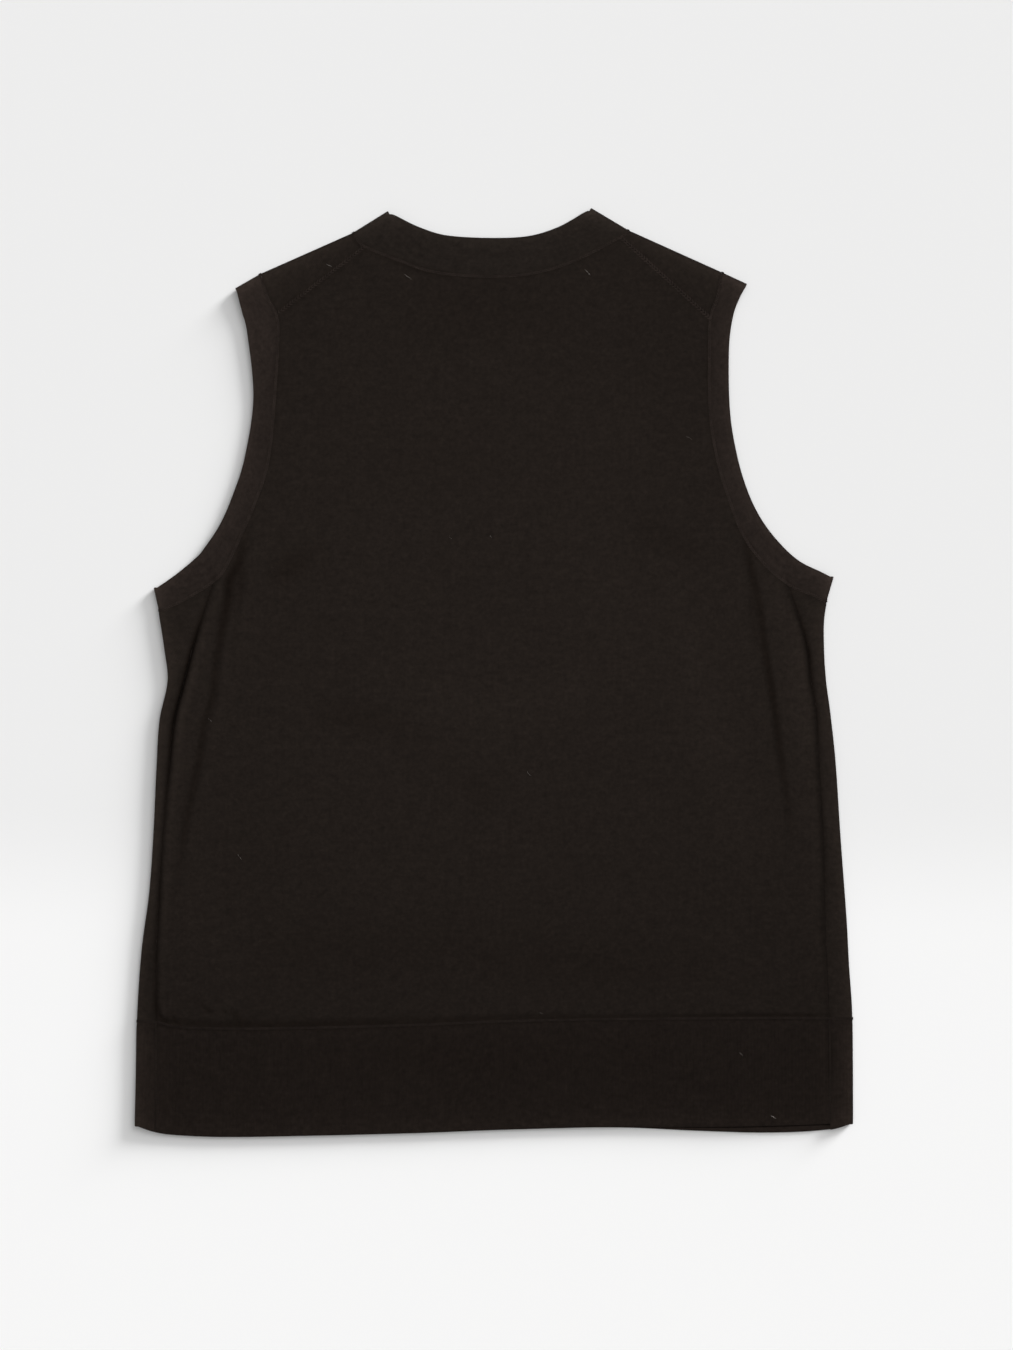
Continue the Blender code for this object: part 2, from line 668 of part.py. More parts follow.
def neck_rib():
    knots = (shoulder_strip_rows(LEFT)[:-1]
             + table_steps(LEFT.neck_corner_row, RIGHT.neck_corner_row)
             + shoulder_strip_rows(RIGHT)[-2::-1])
    back = [across_band(neck_seam(knot), neck_edge(knot), on_top) for knot in knots]
    lines = back + front_neck_lines(RIGHT)[::-1] + front_neck_lines(LEFT)[1:]
    return rib_band("neck_rib", lines, True, BAND_COLOUR)


def down_hem(near, far, share, edge, laid):
    """A line down a hem band, at a share of the way between two lines down its sides."""
    def x_at(height):
        return near(height).x + (far(height).x - near(height).x) * share

    top = hem_seam(x_at(HEM[0].seam_y)) - SEAM_GAP
    low = edge(x_at(0.0))
    heights = [top + (low - top) * down for down in HEM_SHARES]
    return [laid(Vector((x_at(height), height))) for height in heights]


def hem_centre(height):
    return Vector((CENTRE, height))


def across_hem(half_lines):
    """Both halves' lines in order from left to right; they share the centre line's."""
    left, right = (half_lines(half) for half in HALVES)
    return left + right[-2::-1]


def hem_rib_back():
    def half_lines(half):
        def side(height):
            return half.seam_point(height) - half.side_out * SEAM_GAP

        return [down_hem(side, hem_centre, share, back_hem_edge, on_top) for share in COLUMNS]

    return rib_band("hem_rib_back", across_hem(half_lines), False, HEM_COLOUR)


def hem_rib_front():
    def half_lines(half):
        strip = [down_hem(half.seam_point, half.fold_point, share, front_hem_edge, on_top)
                 for share in even(HEM_STRIP_COLUMNS)]
        turn = [down_hem(half.fold_point, half.fold_point, 0.0, front_hem_edge,
                         lambda point, share=share: turned(point, half.side_out, share))
                for share in even(FOLD_STEPS)[-2:0:-1]]
        lower = [down_hem(half.fold_point, hem_centre, share, front_hem_edge, below)
                 for share in lower_shares(half)]
        return strip + turn + lower

    return rib_band("hem_rib_front", across_hem(half_lines), False, HEM_COLOUR)


def stand_in_origin(pieces):
    """Parent the pieces to an empty that puts the middle of their box's base at the origin."""
    corners = [vert.co for piece in pieces for vert in piece.data.vertices]
    low, high = ([pick(corner[axis] for corner in corners) for axis in range(3)]
                 for pick in (min, max))
    vest = bpy.data.objects.new("vest", None)
    bpy.context.collection.objects.link(vest)
    vest.location = (-(low[0] + high[0]) / 2, -(low[1] + high[1]) / 2, -low[2])
    for piece in pieces:
        piece.parent = vest


def main():
    for old in list(bpy.data.objects):
        bpy.data.objects.remove(old)
    stand_in_origin([
        back_panel(), front_panel(), hem_rib_back(), hem_rib_front(), neck_rib(),
        armhole_rib("armhole_rib_left", LEFT), armhole_rib("armhole_rib_right", RIGHT),
    ])
    bpy.context.view_layer.update()


main()
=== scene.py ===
"""The looks of a fine-knit vest that lies flat on its front, with its back uppermost.

Each solid of the frame is replaced by a finer shell of the same cloth: plain knit for
the two panels and raised ribbing for the bands, with linked stitches along their seams.
Metres, +Z up, the head end towards +Y. The draft's tables are in millimetres, from the
centre line and from the lowest hem edge.
"""

import math

import bpy
import numpy as np
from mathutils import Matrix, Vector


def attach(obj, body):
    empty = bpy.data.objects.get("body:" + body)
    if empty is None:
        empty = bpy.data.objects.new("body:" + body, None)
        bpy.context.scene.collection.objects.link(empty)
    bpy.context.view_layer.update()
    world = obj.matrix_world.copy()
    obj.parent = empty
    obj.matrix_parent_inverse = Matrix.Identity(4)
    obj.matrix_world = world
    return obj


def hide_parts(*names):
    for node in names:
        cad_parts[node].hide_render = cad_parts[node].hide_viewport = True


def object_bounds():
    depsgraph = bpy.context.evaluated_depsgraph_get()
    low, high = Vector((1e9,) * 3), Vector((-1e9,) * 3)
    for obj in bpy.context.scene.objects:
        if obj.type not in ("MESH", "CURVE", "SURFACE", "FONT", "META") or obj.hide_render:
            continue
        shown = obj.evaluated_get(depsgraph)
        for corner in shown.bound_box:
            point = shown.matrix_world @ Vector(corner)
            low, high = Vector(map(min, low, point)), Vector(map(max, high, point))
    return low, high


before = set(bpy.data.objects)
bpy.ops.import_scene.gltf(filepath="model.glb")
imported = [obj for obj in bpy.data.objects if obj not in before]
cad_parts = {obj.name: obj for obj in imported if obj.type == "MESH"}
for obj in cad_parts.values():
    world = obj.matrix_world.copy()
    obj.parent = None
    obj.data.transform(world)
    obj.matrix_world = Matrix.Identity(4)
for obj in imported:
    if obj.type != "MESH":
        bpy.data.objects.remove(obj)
CAD_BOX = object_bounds()

# ------------ sizes of the cloth

WALL = 0.0015            # thickness of the knitted cloth
LAYER_GAP = 0.0010       # air between the lower and the upper layer
FOLD_RADIUS = 0.0020     # of the cloth's middle, where it turns at a fold
SEAM_GAP = 0.0001        # between two pieces at their seam
RIM = 0.00025            # how far a cut edge's round rim stands out
RIM_STEPS = 4
CENTRE = -0.0020         # the neck opening's centre line

LOWER = WALL / 2
UPPER = WALL + LAYER_GAP + WALL / 2
LEAST_GAP = 0.0003       # air left under the deepest crease
UPPER_LEAST = WALL + LEAST_GAP + WALL / 2
LEAST_SOFTNESS = 0.0002
FOLD_TOP = LOWER + 2 * FOLD_RADIUS
FOLD_REACH = FOLD_RADIUS + WALL / 2
FOLD_SLOPE = 0.014

RIB_PITCH = 0.0024       # one ridge and one furrow of the ribbing
RIB_HEIGHT = 0.00022
RIB_SAMPLES = 6          # columns of the mesh in one rib
PLAIN_WALE = 0.0017      # width of one column of stitches in the panels
RIB_WALE = RIB_PITCH / 2
COURSE = 0.0012          # height of one row of stitches

# Up each side: the height, the fold, the seam, how high the cloth rolls beside the seam, and
# in thousandths how dark the painted shade in the seam's crease is
LEFT_SIDE = (
    (0, 254.5, 239.8, 0, 0), (47, 253.5, 239, 0.2, 50), (89, 252.5, 239.3, 0.8, 270),
    (132, 249.5, 238.9, 1.3, 400), (174, 244, 236.8, 1.5, 480), (217, 241, 234.2, 1.6, 300),
    (260, 239, 230, 2.2, 620), (295, 236.8, 226.2, 2.8, 890), (323, 231.1, 219, 2.8, 940),
    (345, 233.3, 213.5, 2.2, 860), (372, 237.5, 205.5, 1.6, 360), (393, 241, 198.5, 1.2, 180),
)
RIGHT_SIDE = (
    (0, 254.5, 238.4, 0, 0), (27, 254.4, 238.3, 0, 0), (54, 254.3, 238.2, 0.9, 360),
    (90, 253.8, 237.5, 0.2, 20), (121, 251.7, 236.1, 0.6, 30), (153, 250, 234.7, 1.4, 80),
    (210, 245.8, 233.6, 1.4, 240), (267, 242, 230.4, 1.3, 220), (302, 238.2, 228.6, 1.6, 370),
    (323, 235.4, 224.8, 2, 510), (345, 234, 222.6, 2.2, 610), (368, 234.2, 216.5, 1.4, 370),
    (391, 238.5, 208.8, 0.8, 80),
)

# One row for each line across an armhole band, from its seam to its edge, and from the
# underarm fold to the shoulder fold. The side seam meets row 2, the shoulder seam row 9.
LEFT_ARM = (
    (237.2, 372.6, 240.9, 389.1), (217, 381.2, 226.2, 397.5), (198.5, 392.8, 211.3, 409.8),
    (190.7, 401.3, 205.6, 416.2), (178.7, 426.1, 193.9, 433.9), (169.5, 447.4, 184.6, 455.3),
    (159.5, 477.9, 176.4, 481.4), (154.9, 521.8, 170.3, 523.2), (152.4, 567.9, 174.4, 567.9),
    (153.9, 582.5, 178.3, 584.2), (160.2, 595.6, 180.8, 594.1), (165.2, 611.3, 183.2, 601),
)
RIGHT_ARM = (
    (235.7, 379.3, 240.8, 396.9), (225.5, 383.6, 231.4, 400.3), (208.8, 390.7, 216.2, 408),
    (192.1, 404.8, 202.6, 420.4), (176.3, 426.1, 190, 436.7), (166.6, 450.9, 180.4, 455.9),
    (158, 479.3, 172.6, 481.4), (152.8, 513.3, 167.3, 514), (152.4, 557.3, 166.6, 557.3),
    (153.1, 580, 169.4, 580.7), (158.1, 595.6, 174.1, 594.1), (161.7, 612.3, 179.4, 604.1),
)
ARM_SIDE_ROW, ARM_CHEST_ROW, ARM_SHOULDER_ROW, ARM_FOLD_ROW = 2, 3, 9, 11

# Lines across the back of the neck band, from the left shoulder fold to the right one.
# The shoulder seams meet rows 1 and 7.
BACK_NECK = (
    (-100, 640.2, -75, 655.8), (-91.5, 630.3, -69.5, 652.3), (-66.6, 620.1, -53.2, 644.5),
    (-41.1, 611.9, -33.3, 638.5), (-2.1, 608.9, -2.1, 636.7), (30.5, 611.7, 24.8, 638.1),
    (60, 621.3, 46, 644.6), (90, 637, 64, 654.6), (95.7, 642, 68.8, 658),
)
NECK_MIDDLE_ROW = 4

# Lines across half of the front's V between its point and the shoulder fold
FRONT_NECK = (
    (0, 431, 0, 488), (36, 500, 11.6, 511.6), (70, 570, 45.2, 580.6),
)

# The hem, from left to right: its seam and the free edges of its back and front layers
HEM = (
    (-254.5, 82.5, 8.5, 8.5), (-240, 82, 3.5, 3.5), (-227, 78.5, 1.5, 2), (-194, 77, 0, 1),
    (-137, 77.5, 0.7, 2), (-52, 79.8, 2.8, 4), (5, 82.2, 5, 5.5), (90, 83.7, 7.1, 6.4),
    (145, 84.2, 7.1, 4.1), (195, 84.4, 7.8, 2.8), (238, 84.4, 9.2, 5.1),
    (254.5, 84.4, 9.9, 9.9),
)

# Creases in the upper layer: each one's half width, then where it runs and how deep it is
# there. A ridge has a depth below nothing. Each depth also sets painted shade in a crease
# and painted light on a ridge.
CREASES = (
    # the loft of the cloth beside the side seams
    (18, (-170, 440, 0), (-180, 396, -0.6), (-196, 333.3, -0.8), (-207, 278, -0.7),
     (-217.7, 224.1, -0.6), (-212, 150, -0.6), (-212, 95, 0)),
    (18, (-208, 80, 0), (-208, 55, -0.4), (-208, 20, -0.4), (-208, 0, 0)),
    (18, (178, 430, 0), (186.5, 387.2, -0.6), (193.6, 343.9, -0.8), (201.4, 291.4, -0.7),
     (209.2, 241.1, -0.4), (214, 170, 0)),
    (19, (118, 420, 0), (135, 360, -0.8), (150, 310, -1), (166, 255, -1), (178, 210, -0.7),
     (185, 160, 0)),
    (17, (-95, 335, 0), (-65, 320, -0.6), (5, 304, -0.7), (70, 322, -0.6), (120, 348, 0)),
    (38, (75, 550, 0), (85, 490, -0.3), (85, 430, -0.3), (85, 370, -0.4), (90, 320, 0)),
    (7, (196, 415, 0), (201, 395, -1), (203, 375, -0.9), (205, 355, 0)),
    # the left armhole band stands up near the shoulder, and is painted lighter there
    (10, (-172, 608, 0), (-165, 585, -1.6), (-162, 560, -1.3), (-159, 528, 0)),
    # the long soft troughs inboard of the side seams
    (3.4, (-174, 432, 0), (-177.2, 418, 1.6), (-181.2, 405, 3), (-186.8, 395, 3.8),
     (-188.5, 380.1, 3.6), (-191.2, 365.8, 2.9), (-197.2, 333.3, 2), (-198.8, 313, 2.3),
     (-205, 293, 1.8), (-208.8, 268, 2), (-217.6, 224.1, 1.5), (-225, 173, 0.4),
     (-227, 150, 0)),
    (3, (179, 418, 0.8), (182.2, 404, 2.1), (186.2, 387.2, 2), (189, 371.6, 2.1),
     (191.4, 351.7, 2.5), (194.6, 331, 2.7), (198, 309.2, 2.9), (203.8, 266.8, 2),
     (209, 230, 0.9), (212, 199, 0)),
    # the hollows beside the troughs' heads
    (3, (180, 400, 0), (182.6, 380, 0.8), (184.6, 360, 0.9), (186.6, 340, 0.4), (187, 325, 0)),
    (3.4, (-175, 409, 0), (-179, 394.3, 1.4), (-180.8, 376.6, 0.9), (-183, 360, 0.6),
     (-184.5, 345, 0.3), (-186, 330, 0)),
    # a pinch beside the left underarm, with a short fold below it
    (9, (-162, 390, 0), (-146, 403, 1.1), (-130, 412, 0.4), (-115, 420, 0)),
    (2, (-225.5, 376, 0), (-221.5, 362, 0.6), (-216, 347, 0)),
    # shallow hollows over the middle of the back
    (11, (-135, 299, 0), (-115, 298, 0.6), (-80, 295, 0.6), (-55, 282, 0.2), (-25, 256, 0.2),
     (-8, 244, 0.5), (6, 236, 0)),
    (10, (100, 456, 0), (110.6, 427.5, 0.6), (140.4, 414.1, 0.5), (154, 409, 0)),
    (20, (-190, 128, 0), (-130, 132, 0.4), (-30, 135, 0.4), (20, 125, 0.5), (130, 120, 0.4),
     (170, 120, 0)),
    (22, (-80, 580, 0), (-30, 585, 0.3), (25, 585, 0.3), (70, 590, 0)),
    (22, (-90, 490, 0), (-50, 480, 0.2), (-10, 475, 0.2), (20, 465, 0)),
    # the right roll, and the sag of the left strip over the hem
    (6, (205, 375, 0), (211.5, 345, -1.1), (216.5, 309, -1.5), (220.5, 265, -0.8),
     (224.5, 210, -0.5), (226.5, 160, -0.4), (228.5, 110, 0)),
    (5, (-244, 150, 0), (-245.5, 120, 0.6), (-246.8, 98, 0.6), (-247.8, 85, 0)),
    # the end of the left side crease, and puckers over the left end of the hem seam
    (2.2, (-240.2, 104, 0), (-239.2, 95, 0.8), (-237.4, 88, 1.4), (-234.5, 83, 1.8),
     (-230, 81.2, 0.8)),
    (1.3, (-228.2, 86, 0.2), (-225.8, 82.6, 1.8), (-223, 80, 0.8)),
    (1.9, (-214.5, 98.2, 0.2), (-207.5, 93, 0.5), (-201, 89, 1.3), (-198.5, 87.2, 0.4)),
    (1.2, (-190.8, 90.8, 0), (-190, 88.8, 1.2), (-189, 86.8, 0.2)),
    (2.2, (-185.2, 90.5, 0.3), (-183.2, 86.5, 1), (-180, 82, 1.2)),
    (1.5, (-177.2, 85.2, 0), (-175.5, 82.5, 1), (-173, 80.8, 0.4)),
    # the hem seam's own hollow, deepest at the left and in the middle
    (2.7, (-234, 81.8, 1), (-194, 79.3, 1.6), (-137, 79.7, 1.9), (-90, 80.8, 1.7),
     (-52, 81.8, 1.4), (25, 84.5, 1), (70, 85.4, 0)),
    (1.6, (10, 83.5, 0), (70, 84.8, 1.2), (130, 85.5, 1), (195, 86, 1.6), (238, 85.8, 0.8)),
    # a wide, shallow hollow over the middle of the hem, with its painted shade
    (20, (-160, 56, 0), (-90, 56, 0.3), (0, 56, 0.4), (90, 56, 0.3), (140, 56, 0)),
    # the join in the neck band, near its left peak
    (0.9, (-74.4, 660, 0.4), (-77.5, 645, 0.4), (-83, 631, 0.4)),
)
CREASE_STEPS = 5         # straight stretches between two places of a crease
SEAM_DIP, DIP_WIDTH = 0.0004, 0.0013     # beside the linked seams

SEAM_GROOVE, GROOVE_WIDTH = 0.0017, 0.0022
HEM_GROOVE_SHARE, HEM_GROOVE_FADE = 0.10, 0.012
ROLL_INSET, ROLL_WIDTH, ROLL_FADE = 0.0070, 0.0055, 0.007

# Painted light and shade on the cloth: painted shade deep in its creases and beside the
# linked seams, and painted highlights on its lofts, on its rolls' crests and along its folds
CREASE_SHADE, LOFT_LIGHT = 0.0050, 0.008
SHADE_INSET = 0.0005
SHADE_WIDTHS = (0.0017, 0.0029)     # of a side seam's crease, inboard and outboard
ROLL_LIGHT, ROLL_CREST, CREST_WIDTH = 0.34, 0.0046, 0.0024
FOLD_LIGHTS = ((0.14, 0.42, 0.0125), (0.20, 0.20, 0.0040))     # share, share in hem, width
LINK_SHADE, LINK_SHADE_WIDTH = 0.10, 0.0030
LINK_UNEVEN, LINK_UNEVEN_SEED = 0.018, 4
# Painted highlights along free edges and folds: how much lighter an edge is painted, and how far
# that painted light reaches
PAINTED_BAND_EDGE_LIGHT, PAINTED_SHOULDER_EDGE_LIGHT, PAINTED_SIDE_EDGE_LIGHT = (0.54, 0.0045), (0.44, 0.0040), (0.45, 0.0014)
PAINTED_HEM_EDGE_LIGHT, PAINTED_LOWER_HEM_EDGE_LIGHT = (0.44, 0.0080), (0.80, 0.0080)
NECK_POINTS, ARM_POINTS, SIDE_POINTS = 40, 50, 60     # in the lines along each

# Unevenness of the cloth where it lies plain: height, spacing and seed of its waves
WAVES = ((0.00035, 0.085, 3), (0.00012, 0.028, 8))
LATTICE, LATTICE_SHIFT = 64, 20.0     # cells a side, and the middle's place among them

# Mesh stations
ROWS_PER_LINE, RING_ROWS_PER_LINE = 10, 8
CENTRE_COLUMNS = 18
FOLD_STEPS = 8
CORNER_COLUMN = 79       # where the shoulder seam meets the neck
BAND_MIDDLE_COLUMN = 6
HEM_ROWS, HEM_STRIP_RIBS = 18, 6
SAME_PLACE = 1e-5        # points nearer than this are one
LAYER_MARGIN = 0.0005    # under the least height of the upper layer

UP, DOWN = np.array((0.0, 0.0, 1.0)), np.array((0.0, 0.0, -1.0))
TABLE_ORIGIN = np.array((0.0, CAD_BOX[0].y, 0.0))


# ------------ curves and heights

class Curve:
    """A smooth value or point through the rows of a table, read between its knots."""

    def __init__(self, knots, values, closed=False):
        self.knots = np.array(knots, float)
        self.values = np.array(values, float)
        flat = self.values.reshape(len(self.knots), -1)
        runs = np.diff(self.knots)[:, None]
        rises = np.diff(flat, axis=0)
        slopes = np.empty_like(flat)
        slopes[1:-1] = (rises[1:] + rises[:-1]) / (runs[1:] + runs[:-1])
        slopes[0], slopes[-1] = rises[0] / runs[0], rises[-1] / runs[-1]
        if closed:
            slopes[0] = slopes[-1] = (rises[0] + rises[-1]) / (runs[0] + runs[-1])
        self.slopes = slopes.reshape(self.values.shape)

    def __call__(self, at):
        at = np.clip(np.asarray(at, float), self.knots[0], self.knots[-1])
        i = np.clip(np.searchsorted(self.knots, at) - 1, 0, len(self.knots) - 2)
        span = self.knots[i + 1] - self.knots[i]
        t = (at - self.knots[i]) / span
        extra = (1,) * (self.values.ndim - 1)
        t, span = (value.reshape(value.shape + extra) for value in (t, span))
        rest = 1 - t
        return (self.values[i] * (1 + 2 * t) * rest**2
                + self.values[i + 1] * t**2 * (3 - 2 * t)
                + self.slopes[i] * span * t * rest**2
                - self.slopes[i + 1] * span * t**2 * rest)


def metres(sizes):
    """The draft's millimetres in metres, exact to a hundredth of a millimetre."""
    return np.round(np.array(sizes) / 1000, 5)


def curves(rows):
    """A curve for each column of a table after its first, which holds the knots."""
    knots, *columns = metres(rows).T
    return [Curve(knots, column) for column in columns]


def plan_curve(points):
    return Curve(range(len(points)), points)


def band_points(rows, sign=1, centre=0.0):
    """A band's seam points and edge points in plan."""
    points = metres(rows).reshape(-1, 2, 2) * (sign, 1) + (centre, 0.0)
    return points[:, 0], points[:, 1]


def pair(x, y):
    """Places in plan from what they measure across and up."""
    return np.stack(np.broadcast_arrays(x, y), axis=-1)


def bell(distance, width):
    return np.exp(-(distance / width) ** 2)


def fade(excess, width):
    """1 up to a limit, and less and less past it."""
    return bell(np.maximum(excess, 0.0), width)


def unit(vectors):
    return vectors / np.maximum(np.linalg.norm(vectors, axis=-1, keepdims=True), 1e-12)


def near_line(points, line):
    """Distance from points to an open line, and the nearest place's number on it."""
    best = np.full(points.shape[:-1], np.inf)
    number = np.zeros(points.shape[:-1])
    for i, (start, end) in enumerate(zip(line, line[1:])):
        run = end - start
        share = np.clip((points - start) @ run / (run @ run), 0.0, 1.0)
        distance = np.linalg.norm(points - start - share[..., None] * run, axis=-1)
        nearer = distance < best
        best = np.where(nearer, distance, best)
        number = np.where(nearer, i + share, number)
    return best, number


def soft_noise(points, spacing, seed):
    """Smooth unevenness from -1 to 1 on a lattice of random heights."""
    heights = np.random.default_rng(seed).uniform(-1, 1, (LATTICE, LATTICE))
    cell = points / spacing + LATTICE_SHIFT
    low = np.floor(cell).astype(int)
    share = cell - low
    sx, sy = np.moveaxis(share * share * (3 - 2 * share), -1, 0)
    x, y = np.moveaxis(low, -1, 0)
    under, over = (heights[x % LATTICE, row % LATTICE] * (1 - sx)
                   + heights[(x + 1) % LATTICE, row % LATTICE] * sx for row in (y, y + 1))
    return under * (1 - sy) + over * sy


class Half:
    """One side of the garment: sign -1 is the left, +1 the right."""

    def __init__(self, name, sign, side, arm, neck_fold_row, neck_corner_row):
        self.name, self.sign = name, sign
        self.neck_fold_row, self.neck_corner_row = neck_fold_row, neck_corner_row
        self.fold, self.seam, self.roll, self.shade = curves(side)
        seams, edges = band_points(arm, sign)
        self.underarm, self.joint = edges[0, 1], seams[ARM_SIDE_ROW, 1]
        peak = metres(BACK_NECK[neck_fold_row][2:])
        along = unit(peak - edges[-1])
        self.side_out = np.array((sign, 0.0))
        self.shoulder_out = np.array((sign * abs(along[1]), abs(along[0])))
        self.shoulder_line = np.array((edges[-1], peak)) - self.shoulder_out * FOLD_REACH
        for line in (seams, edges):
            line[0] -= self.side_out * FOLD_REACH
            line[-1] -= self.shoulder_out * FOLD_REACH
        self.arm_seam, self.arm_edge = plan_curve(seams), plan_curve(edges)

    def fold_point(self, height):
        return pair(self.sign * (self.fold(height) - FOLD_REACH), height)

    def seam_point(self, height):
        return pair(self.sign * self.seam(height), height)

    def rise(self, points):
        """How far the folds, the side seam's groove and the roll lift the upper layer."""
        x, y = points[..., 0], points[..., 1]
        from_side = np.linalg.norm(
            points - self.fold_point(np.minimum(y, self.underarm)), axis=-1)
        from_shoulder, _ = near_line(points, self.shoulder_line)
        lift = (FOLD_TOP - UPPER) * bell(np.minimum(from_side, from_shoulder), FOLD_SLOPE)
        inboard = self.seam(y) - self.sign * x
        above_hem = fade(HEM_TOP - y, HEM_GROOVE_FADE)
        groove = SEAM_GROOVE * (HEM_GROOVE_SHARE + (1 - HEM_GROOVE_SHARE) * above_hem)
        beside = (self.roll(y) * bell(inboard - ROLL_INSET, ROLL_WIDTH)
                  - groove * bell(inboard, GROOVE_WIDTH))
        return lift + beside * fade(y - self.joint, ROLL_FADE)

    def tone(self, points):
        """Painted light and shade at this side: highlights on its fold and roll crest, shade in
        its seam's crease.
        """
        x, y = points[..., 0], points[..., 1]
        apart = points - self.fold_point(np.minimum(y, self.underarm))
        apart[..., 0] = np.minimum(self.sign * apart[..., 0], 0.0)
        inside = (self.shoulder_line[0] - points) @ self.shoulder_out
        from_fold = np.minimum(np.linalg.norm(apart, axis=-1), np.maximum(inside, 0.0))
        inboard = self.seam(y) - self.sign * x - SHADE_INSET
        shade = self.shade(y) * fade(y - self.joint, ROLL_FADE)
        crease = shade * bell(inboard, np.where(inboard > 0.0, *SHADE_WIDTHS))
        painted_crest_light = ROLL_LIGHT * shade * bell(inboard - ROLL_CREST, CREST_WIDTH)
        in_hem = 1 - fade(HEM_TOP - y, HEM_GROOVE_FADE)
        light = sum((share + (hem_share - share) * in_hem) * bell(from_fold, width)
                    for share, hem_share, width in FOLD_LIGHTS)
        return (1 + light) * (1 + painted_crest_light) * (1 - crease)


LEFT = Half("left", -1, LEFT_SIDE, LEFT_ARM, 0, 1)
RIGHT = Half("right", 1, RIGHT_SIDE, RIGHT_ARM, 8, 7)
HALVES = (LEFT, RIGHT)
hem_seam, back_hem_edge, front_hem_edge = curves(HEM)
HEM_TOP = metres(HEM[0][1])


def neck_curves():
    """The back neck's seam and edge in plan."""
    lines = band_points(BACK_NECK)
    for line in lines:
        line[0] -= LEFT.shoulder_out * FOLD_REACH
        line[-1] -= RIGHT.shoulder_out * FOLD_REACH
    return [plan_curve(line) for line in lines]


neck_seam, neck_edge = neck_curves()


def front_neck_curves(half):
    """The front neck's seam and edge in plan, from the V's point up to the fold."""
    return [plan_curve(np.vstack((line, back(half.neck_fold_row)))) for line, back
            in zip(band_points(FRONT_NECK, half.sign, CENTRE), (neck_seam, neck_edge))]


def neck_rows(count):
    return np.linspace(LEFT.neck_fold_row, RIGHT.neck_fold_row, count)


def shoulder_ends(half):
    return np.array((half.arm_seam(ARM_SHOULDER_ROW), neck_seam(half.neck_corner_row)))


def linked_lines():
    """The seams in plan that the bands are linked on at, and the shoulder seams."""
    lines = [neck_seam(neck_rows(NECK_POINTS))]
    for half in HALVES:
        lines.append(half.arm_seam(np.linspace(0, ARM_SHOULDER_ROW, ARM_POINTS)))
        lines.append(shoulder_ends(half))
    return lines


def painted_edge_lines():
    """Free edges and folds in plan that are painted lighter, each with its painted highlight's
    share and reach.
    """
    lines = [(neck_edge(neck_rows(NECK_POINTS)), PAINTED_BAND_EDGE_LIGHT)]
    for half in HALVES:
        lines.append((half.arm_edge(np.linspace(0, ARM_FOLD_ROW, ARM_POINTS)), PAINTED_BAND_EDGE_LIGHT))
        lines.append((half.shoulder_line + half.shoulder_out * FOLD_RADIUS, PAINTED_SHOULDER_EDGE_LIGHT))
        side = half.fold_point(np.linspace(0.0, half.underarm, SIDE_POINTS))
        lines.append((side + half.side_out * FOLD_RADIUS, PAINTED_SIDE_EDGE_LIGHT))
    return lines


LINKED_LINES, PAINTED_EDGE_LINES = linked_lines(), painted_edge_lines()


def beside_links(points, width):
    """How close places in plan are to linked seams, as a share for each seam."""
    return sum(bell(near_line(points, line)[0], width) for line in LINKED_LINES)


def crease_depth(points, width, *places):
    """How deep one crease of the table makes the cloth."""
    places = metres(places)
    run, deep = plan_curve(places[:, :2]), plan_curve(places[:, 2])
    distance, number = near_line(points, run(table_steps(0, len(places) - 1, CREASE_STEPS)))
    return deep(number / CREASE_STEPS) * bell(distance, metres(width))


def upper_height(points):
    """Height of the upper layer's middle over places in plan."""
    height = UPPER + sum(half.rise(points) for half in HALVES)
    height += sum(high * soft_noise(points, spacing, seed) for high, spacing, seed in WAVES)
    height -= sum(crease_depth(points, *crease) for crease in CREASES)
    height -= SEAM_DIP * beside_links(points, DIP_WIDTH)
    spare = (height - UPPER_LEAST) / LEAST_SOFTNESS
    return UPPER_LEAST + LEAST_SOFTNESS * np.logaddexp(spare, 0.0)


# painted highlight: how much lighter the cloth is painted at a distance from an edge
def painted_edge_light(distance, share, reach):
    return share * np.exp(-distance / reach)


def hem_painted_light(points, edge, light):
    """Painted highlight above a layer's free hem edge: how much lighter the cloth is painted
    there.
    """
    from_hem = np.maximum(points[..., 1] - edge(points[..., 0]), 0.0)
    return painted_edge_light(from_hem, *light)


def lower_painted_light(points):
    """Painted light on the lower layer over places in plan: lighter above its free hem edge."""
    return 1 + hem_painted_light(points, front_hem_edge, PAINTED_LOWER_HEM_EDGE_LIGHT)


def upper_painted_light_and_shade(points):
    """Painted light and shade of the upper layer over places in plan: painted shade in creases
    and beside linked seams, painted highlights on ridges, folds and free edges.
    """
    edges = hem_painted_light(points, back_hem_edge, PAINTED_HEM_EDGE_LIGHT)
    edges += sum(painted_edge_light(near_line(points, line)[0], *light) for line, light in PAINTED_EDGE_LINES)
    # painted shade deep in each crease and painted light on each ridge, both from their depths
    depths = [crease_depth(points, *crease) for crease in CREASES]
    deep = sum(np.maximum(depth, 0.0) / CREASE_SHADE + np.minimum(depth, 0.0) / LOFT_LIGHT
               for depth in depths)
    # painted shadow beside the linked seams, where a band's raised edge shades the cloth
    shade = (LINK_SHADE * beside_links(points, LINK_SHADE_WIDTH)
             * (1 + soft_noise(points, LINK_UNEVEN, LINK_UNEVEN_SEED)))
    light = LEFT.tone(points) * RIGHT.tone(points) * (1 + edges)
    return light * np.exp(-deep) * (1 - shade)


def raised(points, height):
    """Places in plan at a height."""
    return np.concatenate((points, height[..., None]), axis=-1)


def on_top(points):
    """Points of the upper layer over places in plan."""
    return raised(points, upper_height(points))


def below(points):
    """Points of the lower layer under places in plan."""
    return raised(points, np.full(points.shape[:-1], LOWER))


